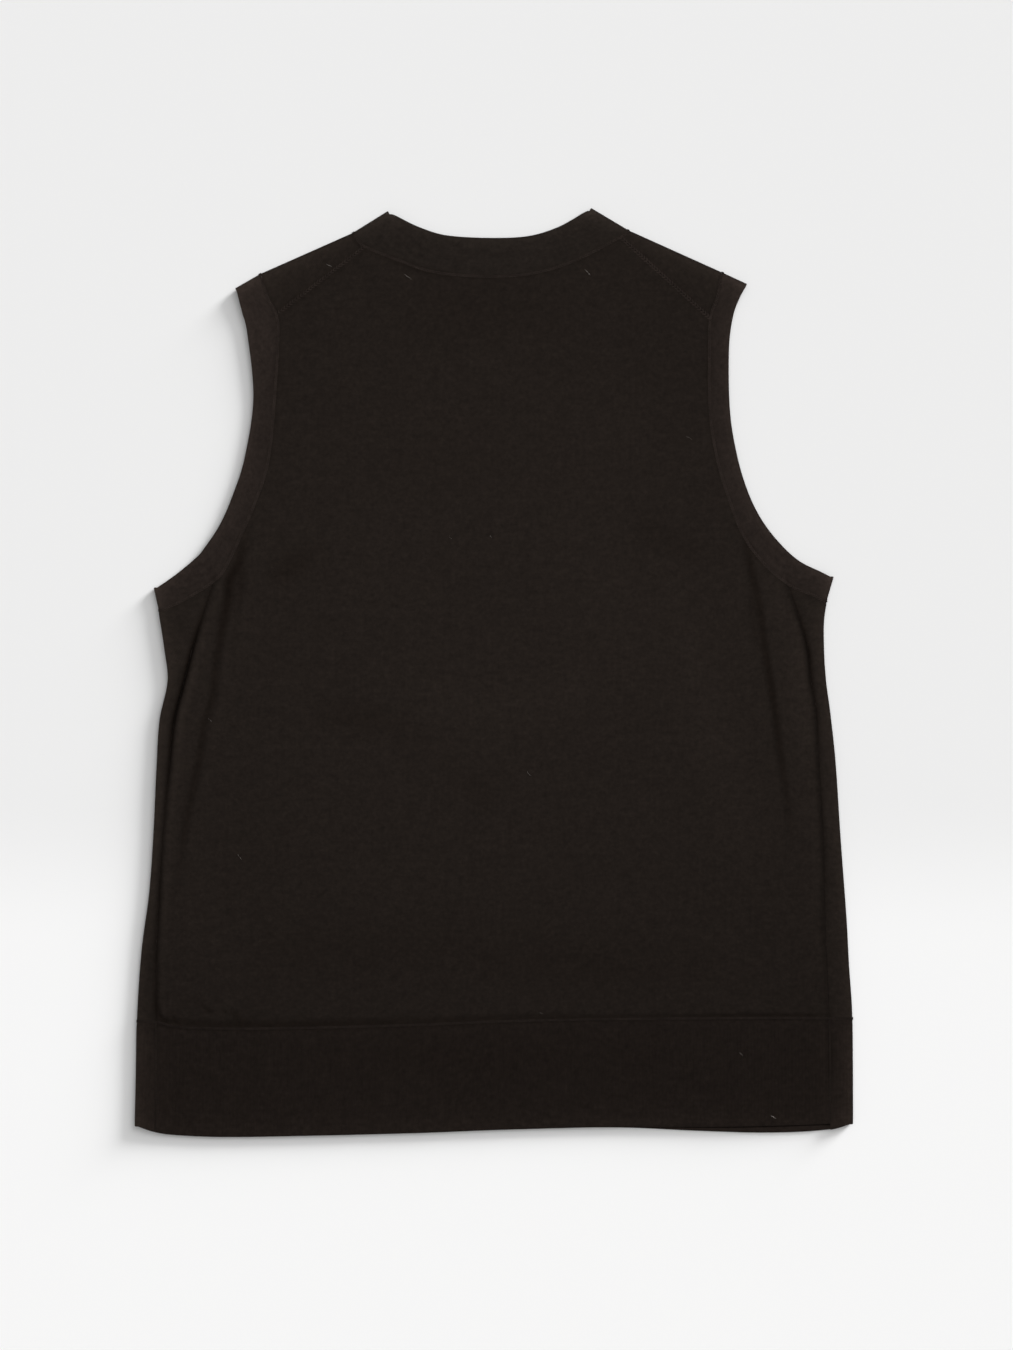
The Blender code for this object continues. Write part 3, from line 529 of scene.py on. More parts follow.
def turned(points, outward, share):
    """Points round a fold, from the lower layer at share 0 to the upper one at 1."""
    out, up = math.sin(math.pi * share), -math.cos(math.pi * share)
    height = LOWER + (upper_height(points) - LOWER) * (1 + up) / 2
    return raised(points + outward * FOLD_RADIUS * out, height)


# ------------ lines and grids

def even(count):
    return np.linspace(0.0, 1.0, count + 1)


def uneven_shares(fine_share, fine_count, count):
    """Shares from 0 to 1, closer together up to the first share given."""
    fine = np.linspace(0.0, fine_share, fine_count + 1)
    return np.concatenate((fine, np.linspace(fine_share, 1.0, count + 1)[1:]))


SIDE_SHARES = uneven_shares(0.055, 20, 110)     # up a side, closer next to the hem
BACK_SHARES = uneven_shares(0.26, 60, 50)       # in from the back panel's side edge
BAND_SHARES = uneven_shares(0.2, 4, 8)          # across a band from its seam


def table_steps(start, end, per_row=ROWS_PER_LINE):
    return np.linspace(start, end, abs(end - start) * per_row + 1)


def spread(start, end, shares):
    return start + (end - start) * np.asarray(shares)[:, None]


def summed(steps):
    """Running sums along the last axis, from 0."""
    return np.concatenate((np.zeros(steps.shape[:-1] + (1,)), np.cumsum(steps, axis=-1)), axis=-1)


def lengths_of(line):
    """Distance along a line up to each of its points."""
    return summed(np.linalg.norm(np.diff(line, axis=0), axis=-1))


def shares_of(line):
    lengths = lengths_of(line)
    return lengths / lengths[-1]


def centre_spread(start, end, outers):
    """Points up the centre line, at the average of the two halves' shares."""
    return spread(start, end, sum(shares_of(outer) for outer in outers) / len(outers))


def fill(outer, inner, bottom, top):
    """A grid of places in plan, row by row, that meets four border lines."""
    up = (shares_of(outer) + shares_of(inner))[:, None, None] / 2
    over = (shares_of(bottom) + shares_of(top))[None, :, None] / 2
    corners = ((outer[0] * (1 - over) + inner[0] * over) * (1 - up)
               + (outer[-1] * (1 - over) + inner[-1] * over) * up)
    return (outer[:, None] * (1 - over) + inner[:, None] * over
            + bottom[None] * (1 - up) + top[None] * up - corners)


CHEST_MIDDLE = (LEFT.arm_seam(ARM_CHEST_ROW) + RIGHT.arm_seam(ARM_CHEST_ROW)) / 2
CHEST_MIDDLE[0] = CENTRE


def along_hem(start_x, end_x, shares):
    x = start_x + (end_x - start_x) * shares
    return pair(x, hem_seam(x))


def up_side(place, top):
    """A line up a side from the hem's seam, through the place at each height."""
    start = hem_seam(place(HEM_TOP)[0])
    return place(start + (top - start) * SIDE_SHARES)


def side_seam(half):
    return up_side(half.seam_point, half.joint)


def side_fold(half):
    underarm = half.arm_seam(0)
    line = up_side(half.fold_point, underarm[1])
    line[-1] = underarm
    return line


def arm_line(half, start_row, end_row):
    return half.arm_seam(table_steps(start_row, end_row))


def chest_line(half):
    return spread(half.arm_seam(ARM_CHEST_ROW), CHEST_MIDDLE, even(CENTRE_COLUMNS))


def join(*lines):
    """Lines end to end; each one starts where the last one ends."""
    return np.vstack([lines[0]] + [line[1:] for line in lines[1:]])


# ------------ shells of cloth

def put(name, data):
    """A new object in the scene."""
    made = bpy.data.objects.new(name, data)
    bpy.context.scene.collection.objects.link(made)
    return made


def carry(mesh, label, values, kind="FLOAT", field="value"):
    """Let a mesh's points carry values under a name."""
    attribute = mesh.attributes.new(label, kind, "POINT")
    attribute.data.foreach_set(field, np.asarray(values, np.float32).ravel())


def mesh_object(name, vertices, quads, uvs):
    mesh = bpy.data.meshes.new(name)
    mesh.vertices.add(len(vertices))
    mesh.vertices.foreach_set("co", vertices.astype(np.float32).ravel())
    mesh.loops.add(quads.size)
    mesh.loops.foreach_set("vertex_index", quads.astype(np.int32).ravel())
    mesh.polygons.add(len(quads))
    mesh.polygons.foreach_set("loop_start", np.arange(0, quads.size, 4, dtype=np.int32))
    layer = mesh.uv_layers.new(name="cloth")
    layer.uv.foreach_set("vector", uvs.astype(np.float32).ravel())
    mesh.update(calc_edges=True)
    mesh.validate()
    mesh.shade_smooth()
    return put(name, mesh)


class Cloth:
    """The middle surface of one piece of cloth, put together from grids that share borders."""

    def __init__(self):
        self.points, self.quads, self.uvs, self.count = [], [], [], 0

    def add(self, grid, facing, uv=None):
        """Add a grid of points. facing says which way its outside looks."""
        uv = grid[..., :2] if uv is None else uv
        rows, columns = grid.shape[:2]
        number = np.arange(rows * columns).reshape(rows, columns)
        corners = [number[:-1, :-1], number[:-1, 1:], number[1:, 1:], number[1:, :-1]]
        quads = np.stack([corner.ravel() for corner in corners], axis=-1)
        points = grid.reshape(-1, 3)
        a, b, c, d = points[quads.T]
        if (np.cross(c - a, d - b) @ facing).sum() < 0:
            quads = quads[:, ::-1]
        self.points.append(points)
        self.quads.append(quads + self.count)
        self.uvs.append(uv.reshape(-1, 2)[quads])
        self.count += len(points)

    def merged(self):
        points = np.concatenate(self.points)
        keys = np.round(points / SAME_PLACE).astype(np.int64)
        _, first, number = np.unique(keys, axis=0, return_index=True, return_inverse=True)
        return points[first], number.reshape(-1)[np.concatenate(self.quads)]

    def cut(self):
        """Width, length and area of the flat piece."""
        uv = np.concatenate(self.uvs)
        size = uv.reshape(-1, 2).max(0) - uv.reshape(-1, 2).min(0)
        a, b = uv[:, 2] - uv[:, 0], uv[:, 3] - uv[:, 1]
        return tuple(size), np.abs(a[:, 0] * b[:, 1] - a[:, 1] * b[:, 0]).sum() / 2

    def shell(self, name):
        """A closed wall of even thickness with round rims, as an object."""
        points, quads = self.merged()
        uv = np.concatenate(self.uvs)
        plan = points[:, :2]
        is_upper = points[:, 2] > UPPER_LEAST - LAYER_MARGIN
        # painted light and shade for each point, which the materials read as its tone
        tone = np.where(is_upper, upper_painted_light_and_shade(plan), lower_painted_light(plan))
        a, b, c, d = points[quads.T]
        face_normals = np.cross(c - a, d - b)
        normals = np.zeros_like(points)
        for corner in quads.T:
            np.add.at(normals, corner, face_normals)
        normals = unit(normals)

        starts, ends = quads.ravel(), np.roll(quads, -1, axis=1).ravel()
        size = len(points)
        keys = np.minimum(starts, ends) * size + np.maximum(starts, ends)
        _, where, uses = np.unique(keys, return_inverse=True, return_counts=True)
        open_edges = np.flatnonzero(uses[where.reshape(-1)] == 1)
        start, end = starts[open_edges], ends[open_edges]
        outward = np.zeros_like(points)
        away = unit(np.cross(points[end] - points[start], unit(face_normals)[open_edges // 4]))
        np.add.at(outward, start, away)
        np.add.at(outward, end, away)
        border = np.unique(start)
        outward[border] = unit(outward[border])
        points = points - outward * RIM

        half_wall = normals * WALL / 2
        rings = [points + half_wall, points - half_wall]
        slot_of = np.full(size, -1)
        slot_of[border] = np.arange(len(border))
        numbers = [np.arange(size)]
        for step in range(1, RIM_STEPS):
            angle = math.pi * step / RIM_STEPS
            rings.append(points[border] + half_wall[border] * math.cos(angle)
                         + outward[border] * RIM * math.sin(angle))
            numbers.append(2 * size + (step - 1) * len(border) + slot_of)
        numbers.append(np.arange(size) + size)
        faces = [quads, quads[:, ::-1] + size]
        face_uvs = [uv, uv[:, ::-1]]
        flat_uv, next_uv = uv.reshape(-1, 2), np.roll(uv, -1, axis=1).reshape(-1, 2)
        rim_uv = np.stack((next_uv, flat_uv, flat_uv, next_uv), axis=1)[open_edges]
        for above, under in zip(numbers, numbers[1:]):
            faces.append(np.stack((above[end], above[start], under[start], under[end]), axis=-1))
            face_uvs.append(rim_uv)
        vertices = np.concatenate(rings) + TABLE_ORIGIN
        piece = mesh_object(name, vertices, np.concatenate(faces), np.concatenate(face_uvs))
        outside, along = np.zeros((2, len(vertices)))
        outside[:size] = 1.0
        outside[border] = 0.0
        along[quads.ravel()] = uv[..., 0].ravel()
        painted_tones = np.concatenate([tone, tone] + [tone[border]] * (RIM_STEPS - 1))
        for label, values in (("outside", outside), ("along", along), ("tone", painted_tones)):
            carry(piece.data, label, values)
        return piece


# ------------ the panels

def sideways_uv(grid, half):
    """UV on the upper layer: across the cloth's own rise and fall from the inner column."""
    steps = np.diff(grid[:, ::-1], axis=1)
    across = summed(np.hypot(steps[..., 0], steps[..., 2]))[:, ::-1]
    return pair(grid[:, -1:, 0] + half.sign * across, grid[..., 1])


def mirrored_uv(grid, line, outward):
    """UV past a fold: places mirrored in the fold's line and moved on by the fold's turn."""
    out = ((grid[..., :2] - line) @ outward)[..., None]
    return grid[..., :2] + outward * (math.pi * FOLD_RADIUS - 2 * out)


def back_cloth():
    cloth = Cloth()
    sides = []
    for half in HALVES:
        side = join(side_seam(half) - half.side_out * SEAM_GAP,
                    arm_line(half, ARM_SIDE_ROW, ARM_SHOULDER_ROW))
        side[-1] -= half.shoulder_out * SEAM_GAP
        sides.append(side)
    for half, side in zip(HALVES, sides):
        corner = neck_seam(half.neck_corner_row) - half.shoulder_out * SEAM_GAP
        over_neck = np.linspace(half.neck_corner_row, NECK_MIDDLE_ROW,
                                len(BACK_SHARES) - CORNER_COLUMN)
        shoulder = spread(side[-1], corner,
                          BACK_SHARES[:CORNER_COLUMN + 1] / BACK_SHARES[CORNER_COLUMN])
        top = join(shoulder, neck_seam(over_neck))
        bottom = along_hem(side[0, 0], CENTRE, BACK_SHARES)
        inner = centre_spread(bottom[-1], top[-1], sides)
        grid = on_top(fill(side, inner, bottom, top))
        cloth.add(grid, UP, sideways_uv(grid, half))
    return cloth


def add_fold(cloth, line, outward):
    shares = even(FOLD_STEPS)
    grid = np.stack([turned(line, outward, share) for share in shares], axis=1)
    grid[:, 0], grid[:, -1] = below(line), on_top(line)
    turn = outward * math.pi * FOLD_RADIUS * shares[:, None]
    cloth.add(grid, np.append(outward, 0.0), line[:, None] + turn)


def front_cloth():
    cloth = Cloth()
    folds = [side_fold(half) for half in HALVES]
    rows = (ARM_FOLD_ROW - ARM_CHEST_ROW) * ROWS_PER_LINE
    for half, fold_line in zip(HALVES, folds):
        seam_line = side_seam(half)
        strip_top = arm_line(half, ARM_SIDE_ROW, 0)
        strip_bottom = along_hem(seam_line[0, 0], fold_line[0, 0], shares_of(strip_top))
        strip = on_top(fill(seam_line, fold_line, strip_bottom, strip_top))
        cloth.add(strip, UP, mirrored_uv(strip, fold_line[:, None], half.side_out))
        add_fold(cloth, fold_line, half.side_out)

        body_top = join(arm_line(half, 0, ARM_CHEST_ROW), chest_line(half))
        body_bottom = along_hem(fold_line[0, 0], CENTRE, shares_of(body_top))
        centre_line = centre_spread(body_bottom[-1], CHEST_MIDDLE, folds)
        cloth.add(below(fill(fold_line, centre_line, body_bottom, body_top)), DOWN)

        v_seam, _ = front_neck_curves(half)
        arm_side = arm_line(half, ARM_CHEST_ROW, ARM_FOLD_ROW)
        neck_side = np.vstack((CHEST_MIDDLE, v_seam(len(FRONT_NECK) * even(rows - 1))))
        shoulder_fold = spread(arm_side[-1], neck_side[-1], even(CENTRE_COLUMNS))
        cloth.add(below(fill(arm_side, neck_side, chest_line(half), shoulder_fold)), DOWN)
        add_fold(cloth, shoulder_fold, half.shoulder_out)

        over_arm = arm_line(half, ARM_FOLD_ROW, ARM_SHOULDER_ROW)
        over_neck = neck_seam(np.linspace(half.neck_fold_row, half.neck_corner_row,
                                          len(over_arm)))
        seam = spread(over_arm[-1], over_neck[-1], even(CENTRE_COLUMNS))
        strip = on_top(fill(over_arm, over_neck, shoulder_fold, seam))
        cloth.add(strip, UP, mirrored_uv(strip, shoulder_fold[0], half.shoulder_out))
    return cloth


# ------------ the ribbed bands

def across_band(seam, edge):
    """Lines across a band in plan, which start a seam's gap away from the panel."""
    start = seam + unit(edge - seam) * SEAM_GAP
    return start[:, None] + (edge - start)[:, None] * BAND_SHARES[None, :, None]


def round_fold(seam, edge, outward):
    """A band's lines round a fold, between the lower layer's and the upper one's."""
    line = across_band(seam[None], edge[None])[0]
    return np.stack([turned(line, outward, share) for share in even(FOLD_STEPS)[1:-1]])


def ring_cloth(*stations):
    """A closed band with a whole number of ribs round its middle."""
    stations = np.concatenate(stations)
    ring = np.concatenate((stations, stations[:1]))
    lengths = lengths_of(ring[:, BAND_MIDDLE_COLUMN])
    ribs = round(lengths[-1] / RIB_PITCH)
    even_ring = Curve(lengths, ring, closed=True)(lengths[-1] * even(ribs * RIB_SAMPLES))
    even_ring[-1] = even_ring[0]
    across = summed(np.linalg.norm(np.diff(even_ring, axis=1), axis=-1))
    along = even(len(even_ring) - 1)[:, None] * ribs * RIB_PITCH
    normals = np.cross(ring[1, -1] - ring[0, -1], ring[0, 0] - ring[0, -1])
    facing = UP if normals[2] > 0 else DOWN
    first, second = even_ring[:2]
    turn = np.cross(second[0] - first[-1], second[-1] - first[0])[2]
    if turn * facing[2] < 0:
        facing = -facing
    cloth = Cloth()
    cloth.add(even_ring, facing, pair(along, across))
    return cloth


def arm_cloth(half):
    knots = table_steps(0, ARM_FOLD_ROW, RING_ROWS_PER_LINE)
    lines = across_band(half.arm_seam(knots), half.arm_edge(knots))
    underarm, shoulder = (round_fold(half.arm_seam(row), half.arm_edge(row), outward)
                          for row, outward in ((0, half.side_out),
                                               (ARM_FOLD_ROW, half.shoulder_out)))
    return ring_cloth(on_top(lines), shoulder[::-1], below(lines)[::-1], underarm)


def v_lines(half):
    """The neck band's lines of one half of the V, from its point up and round the fold."""
    v_seam, v_edge = front_neck_curves(half)
    knots = len(FRONT_NECK) * even((ARM_FOLD_ROW - ARM_CHEST_ROW) * RING_ROWS_PER_LINE)
    row = half.neck_fold_row
    return np.concatenate((below(across_band(v_seam(knots), v_edge(knots))),
                           round_fold(neck_seam(row), neck_edge(row), half.shoulder_out)))


def neck_cloth():
    knots = table_steps(LEFT.neck_fold_row, RIGHT.neck_fold_row, RING_ROWS_PER_LINE)
    back = on_top(across_band(neck_seam(knots), neck_edge(knots)))
    return ring_cloth(back, v_lines(RIGHT)[::-1], v_lines(LEFT)[1:])


def down_hem(near, far, shares, edge):
    """Lines down a hem band in plan, at shares of the way between two lines down its sides."""
    def places(height):
        first, last = near(height), far(height)
        return first + (last - first) * shares[:, None]

    top = hem_seam(places(np.full(len(shares), HEM_TOP))[:, 0]) - SEAM_GAP
    low = edge(places(np.zeros(len(shares)))[:, 0])
    return np.stack([places(top + (low - top) * down) for down in even(HEM_ROWS)])


def hem_centre(height):
    return pair(CENTRE, height)


def hem_back_cloth():
    cloth = Cloth()
    for half in HALVES:
        def side(height, half=half):
            return half.seam_point(height) - half.side_out * SEAM_GAP

        ribs = round(abs(CENTRE - side(0.0)[0]) / RIB_PITCH)
        shares = even(ribs * RIB_SAMPLES)
        grid = on_top(down_hem(side, hem_centre, shares, back_hem_edge))[:, ::-1]
        along = CENTRE + half.sign * lengths_of(grid[0])
        cloth.add(grid, UP, pair(along, grid[..., 1]))
    return cloth


def hem_front_cloth():
    cloth = Cloth()
    for half in HALVES:
        shares = even(HEM_STRIP_RIBS * RIB_SAMPLES)
        strip = on_top(down_hem(half.seam_point, half.fold_point, shares, front_hem_edge))
        line = down_hem(half.fold_point, half.fold_point, np.zeros(1), front_hem_edge)[:, 0]
        cloth.add(strip, UP, mirrored_uv(strip, line[:, None], half.side_out))
        add_fold(cloth, line, half.side_out)
        shares = shares_of(join(arm_line(half, 0, ARM_CHEST_ROW), chest_line(half)))
        cloth.add(below(down_hem(half.fold_point, hem_centre, shares, front_hem_edge)), DOWN)
    return cloth


# ------------ geometry trees

SOCKET_KINDS = {"Geometry": "NodeSocketGeometry", "Seed": "NodeSocketInt",
                "Material": "NodeSocketMaterial"}
LEG_SIZES, FIBRE_SIZES = (8, 6), (6, 14)      # segments and rings
LEG_PLACE, LEG_LENGTH = 0.27, 1.45            # shares of the chain's width and pitch
LEG_UNEVEN, FIBRE_UNEVEN = (0.6, 1.4), (0.5, 1.5)
LEG_FULLNESS = (0.12, 0.38)                   # shares of the width: uneven, and even


def pick(sockets, label):
    """A socket by its number, or by its label: the one in use where several share it."""
    if isinstance(label, int):
        return sockets[label]
    in_use = [socket for socket in sockets if socket.name == label and socket.enabled]
    return in_use[0] if in_use else sockets[label]


class Tree:
    """A geometry or shader tree under construction."""

    def __init__(self, tree):
        self.tree = tree

    def feed(self, socket, value):
        if isinstance(value, bpy.types.NodeSocket):
            self.tree.links.new(value, socket)
        else:
            socket.default_value = value

    def node(self, kind, inputs=None, **settings):
        """A node with its settings made and its inputs fed, by number or by label."""
        made = self.tree.nodes.new(kind)
        for name, value in settings.items():
            setattr(made, name, value)
        for label, value in (inputs or {}).items():
            self.feed(pick(made.inputs, label), value)
        return made

    def out(self, kind, inputs=None, label=0, **settings):
        return pick(self.node(kind, inputs, **settings).outputs, label)

    def math(self, operation, *values):
        return self.out("ShaderNodeMath", dict(enumerate(values)), operation=operation)

    def vector(self, operation, *values):
        return self.out("ShaderNodeVectorMath", dict(enumerate(values)), operation=operation)

    def scaled(self, vector, factor):
        return self.out("ShaderNodeVectorMath", {0: vector, "Scale": factor}, operation="SCALE")

    def combined(self, *values):
        return self.out("ShaderNodeCombineXYZ", dict(enumerate(values)))

    def named(self, label, kind="FLOAT"):
        """A value that the mesh carries under a name."""
        return self.out("GeometryNodeInputNamedAttribute", {"Name": label}, data_type=kind)

    def chance(self, span, seed):
        """A random value within a span, for each point."""
        inputs = {"Min": span[0], "Max": span[1], "Seed": seed}
        return self.out("FunctionNodeRandomValue", inputs, "Value", data_type="FLOAT")

    def moved(self, geometry, offset):
        return self.out("GeometryNodeSetPosition", {"Geometry": geometry, "Offset": offset})

    def swayed(self, geometry, strength, scale):
        """Geometry that wanders smoothly, but stays at its height."""
        field = self.out("ShaderNodeTexNoise", {"Scale": scale}, "Color")
        sway = self.vector("SUBTRACT", field, (0.5, 0.5, 0.5))
        flat = self.vector("MULTIPLY", sway, (1.0, 1.0, 0.0))
        return self.moved(geometry, self.scaled(flat, strength))

    def ball(self, segments, rings):
        """A ball of diameter 1."""
        inputs = {"Segments": segments, "Rings": rings, "Radius": 0.5}
        return self.out("GeometryNodeMeshUVSphere", inputs)

    def copies(self, points, instance, rotation, scale):
        return self.out("GeometryNodeInstanceOnPoints", {
            "Points": points, "Instance": instance, "Rotation": rotation, "Scale": scale})

    def finish(self, geometry, material):
        """End the tree in Realize Instances and Set Material."""
        whole = self.out("GeometryNodeRealizeInstances", {0: geometry})
        painted = self.out("GeometryNodeSetMaterial", {"Geometry": whole, "Material": material})
        self.node("NodeGroupOutput", {0: painted})
        return self.tree


def new_group(name, *sizes):
    """A geometry tree with named inputs, and those inputs as they are seen inside it."""
    group = bpy.data.node_groups.new(name, "GeometryNodeTree")
    sockets = [(label, "INPUT") for label in ("Geometry", *sizes, "Material")]
    for label, side in sockets + [("Geometry", "OUTPUT")]:
        group.interface.new_socket(label, in_out=side,
                                   socket_type=SOCKET_KINDS.get(label, "NodeSocketFloat"))
    tree = Tree(group)
    return tree, tree.node("NodeGroupInput").outputs


def bake(piece, group, **values):
    """Run a geometry tree on a piece and keep the result as its plain mesh."""
    modifier = piece.modifiers.new(group.name, "NODES")
    modifier.node_group = group
    for item in group.interface.items_tree:
        label = item.name.lower().replace(" ", "_")
        if item.in_out == "INPUT" and label in values:
            modifier[item.identifier] = values[label]
    graph = bpy.context.evaluated_depsgraph_get()
    mesh = bpy.data.meshes.new_from_object(piece.evaluated_get(graph))
    piece.modifiers.clear()
    piece.data = mesh
    mesh.name = piece.name
    mesh.shade_smooth()
    return piece


def rib_group():
    """Raises round ribs in a cloth's outer skin, and leaves what faces the table flat."""
    tree, given = new_group("raised_ribs", "Rib Pitch", "Rib Height")
    normal = tree.out("GeometryNodeInputNormal")
    upward = tree.out("ShaderNodeSeparateXYZ", {0: normal}, 2)
    standing = tree.out("ShaderNodeClamp", {0: tree.math("MULTIPLY_ADD", upward, 2.0, 1.0)})
    ribs = tree.math("DIVIDE", tree.named("along"), given["Rib Pitch"])
    wave = tree.math("COSINE", tree.math("MULTIPLY", ribs, 2 * math.pi))
    ridge = tree.math("MULTIPLY_ADD", wave, -0.5, 0.5)
    height = tree.math("MULTIPLY", tree.math("MULTIPLY", ridge, given["Rib Height"]),
                       tree.math("MULTIPLY", tree.named("outside"), standing))
    ribbed = tree.moved(given["Geometry"], tree.scaled(normal, height))
    return tree.finish(ribbed, given["Material"])


def stitch_group():
    """A chain of linking stitches: two rows of slanted legs that lean towards each other."""
    tree, given = new_group("linked_stitches", "Stitch Pitch", "Chain Width", "Lean",
                            "Wander", "Wander Scale", "Seed")
    pitch, width = given["Stitch Pitch"], given["Chain Width"]
    line = tree.out("GeometryNodeMeshToCurve", {0: given["Geometry"]})
    points = tree.out("GeometryNodeResampleCurve", {"Curve": line, "Length": pitch},
                      mode="LENGTH")
    tangent = tree.out("GeometryNodeInputTangent")
    upright = tree.named("upright", "FLOAT_VECTOR")
    axes = tree.out("FunctionNodeAxesToRotation", {0: upright, 1: tangent},
                    primary_axis="Z", secondary_axis="X")
    aside = tree.vector("CROSS_PRODUCT", upright, tangent)
    leg = tree.out("GeometryNodeSetShadeSmooth", {0: tree.ball(*LEG_SIZES)})
    middle = tree.swayed(points, given["Wander"], given["Wander Scale"])
    both = tree.node("GeometryNodeJoinGeometry")
    for side in (-1.0, 1.0):
        shift = tree.math("MULTIPLY", width, LEG_PLACE * side)
        row = tree.moved(middle, tree.scaled(aside, shift))
        chance = tree.chance(LEG_UNEVEN, given["Seed"])
        lean = tree.math("MULTIPLY", tree.math("MULTIPLY", given["Lean"], side), chance)
        spin = tree.out("FunctionNodeAxisAngleToRotation",
                        {"Axis": (0.0, 0.0, 1.0), "Angle": lean})
        turn = tree.out("FunctionNodeRotateRotation", {0: axes, 1: spin},
                        rotation_space="LOCAL")
        thick = tree.math("MULTIPLY", width, tree.math("MULTIPLY_ADD", chance, *LEG_FULLNESS))
        size = tree.combined(tree.math("MULTIPLY", pitch, LEG_LENGTH), thick, thick)
        tree.feed(both.inputs[0], tree.copies(row, leg, turn, size))
    return tree.finish(both.outputs[0], given["Material"])


def stray_group():
    """A short curled fibre at each point, at a slant of its own."""
    tree, given = new_group("stray_fibres", "Curl", "Curl Scale", "Slant", "Seed")
    laid = tree.out("GeometryNodeTransform", {"Geometry": tree.ball(*FIBRE_SIZES),
                                              "Rotation": (0.0, math.pi / 2, 0.0)})
    chance = tree.chance(FIBRE_UNEVEN, given["Seed"])
    turn = tree.combined(0.0, 0.0, tree.math("MULTIPLY", given["Slant"], chance))
    thickness = tree.named("thickness")
    size = tree.combined(tree.named("length"), thickness, thickness)
    copies = tree.copies(given["Geometry"], laid, turn, size)
    whole = tree.out("GeometryNodeRealizeInstances", {0: copies})
    curled = tree.swayed(whole, given["Curl"], given["Curl Scale"])
    return tree.finish(curled, given["Material"])


# ------------ materials

# Grains of tone: scale, detail, stretch along the stitch columns, and share of the tone
KNIT_GRAINS = ((1200.0, 2.0, 1.0, 0.38), (400.0, 4.0, 1.0, 0.68), (230.0, 3.0, 1.3, 0.56),
               (110.0, 3.0, 1.4, 0.46), (45.0, 2.0, 1.0, 0.14), (14.0, 4.0, 1.0, 0.12))
YARN_GRAINS = ((1400.0, 2.0, 1.0, 0.6), (280.0, 3.0, 1.0, 0.8), (70.0, 2.0, 1.0, 0.6))
LOOP_SHARPNESS, LOOP_SLANT, LOOP_SHARE = 0.6, 1.6, 0.6
STITCH_TONE = 0.22       # how much lighter a stitch's crown is than its edges
STITCH_DEPTH = 0.00012
# the painted shade in creases turns warmer as it deepens
PAINTED_SHADE_WARMTH = (0.0, 0.15, 0.30)   # how fast each of red, green and blue fades in a crease
WOOL = {"Roughness": 0.9, "Specular IOR Level": 0.05, "Sheen Weight": 0.15,
        "Sheen Roughness": 0.3, "Sheen Tint": (0.30, 0.24, 0.21, 1.0)}
FLOOR = {"Roughness": 0.95, "Specular IOR Level": 0.0}


def new_material(name, looks):
    """A material with its tree and its shader."""
    material = bpy.data.materials.new(name)
    material.use_nodes = True
    shader = material.node_tree.nodes["Principled BSDF"]
    for label, value in looks.items():
        shader.inputs[label].default_value = value
    return material, Tree(material.node_tree), shader


def uneven(tree, place, grains, strength=1.0):
    """Tone about 1 that varies over a surface in grains of several sizes."""
    tone = 1.0
    for scale, detail, stretch, share in grains:
        laid = tree.out("ShaderNodeMapping", {"Vector": place, "Scale": (1.0, stretch, 1.0)})
        field = tree.out("ShaderNodeTexNoise",
                         {"Vector": laid, "Scale": scale, "Detail": detail}, "Fac")
        share *= strength
        step = tree.math("MULTIPLY_ADD", field, share, 1 - share / 2)
        tone = tree.math("MULTIPLY", tone, step)
    return tone


def knit_material(name, colour, wale, mottle=1.0):
    """Knitted wool: columns of V stitches that follow the cloth, in yarn of uneven tone."""
    material, tree, shader = new_material(name, WOOL)
    do = tree.math
    uv = tree.out("ShaderNodeUVMap", uv_map="cloth")
    across, along, _ = tree.node("ShaderNodeSeparateXYZ", {0: uv}).outputs
    columns = do("MULTIPLY_ADD", across, 1 / wale, 0.5)
    from_middle = do("ABSOLUTE", do("SUBTRACT", do("FRACT", columns), 0.5))
    rows = do("ADD", do("DIVIDE", along, COURSE), do("MULTIPLY", from_middle, LOOP_SLANT))
    arch = do("SINE", do("MULTIPLY", do("FRACT", rows), math.pi))
    leg_side = do("SUBTRACT", do("MULTIPLY", from_middle, 4.0), 1.0)
    leg = do("SUBTRACT", 1.0, do("MULTIPLY", leg_side, leg_side))
    loop = do("MULTIPLY_ADD", do("POWER", arch, LOOP_SHARPNESS), LOOP_SHARE, 1 - LOOP_SHARE)
    stitch = do("MULTIPLY", leg, loop)
    # the points' tone is painted light and shade: darker in creases and beside seams, lighter on
    # ridges, folds and edges
    painted_lightness = tree.out("ShaderNodeAttribute", None, "Fac", attribute_name="tone")
    crown = do("MULTIPLY_ADD", stitch, STITCH_TONE, 1 - STITCH_TONE / 2)
    tone = do("MULTIPLY", do("MULTIPLY", painted_lightness, crown),
              uneven(tree, uv, KNIT_GRAINS, mottle))
    # painted shade: the creases' painted darkness fades blue and green faster than red
    fades = [do("POWER", do("MINIMUM", painted_lightness, 1.0), fading) for fading in PAINTED_SHADE_WARMTH]
    warm_painted_shade = tree.vector("MULTIPLY", colour, tree.combined(*fades))
    tree.feed(shader.inputs["Base Color"], tree.scaled(warm_painted_shade, tone))
    height = do("ADD", stitch, uneven(tree, uv, YARN_GRAINS[:1]))
    bump = tree.out("ShaderNodeBump",
                    {"Strength": 1.0, "Distance": STITCH_DEPTH, "Height": height})
    tree.feed(shader.inputs["Normal"], bump)
    return material


def yarn_material(name, colour):
    """Loose or linking yarn of uneven tone."""
    material, tree, shader = new_material(name, WOOL)
    tone = uneven(tree, tree.out("ShaderNodeTexCoord", None, "Object"), YARN_GRAINS)
    tree.feed(shader.inputs["Base Color"], tree.scaled(colour, tone))
    return material


# ------------ the stage

CAMERA_HEIGHT = 2.6
FRAME_HEIGHT = 0.9572
SENSOR_WIDTH = 36.0
VIEW_CENTRE = (0.0090, -0.0019)
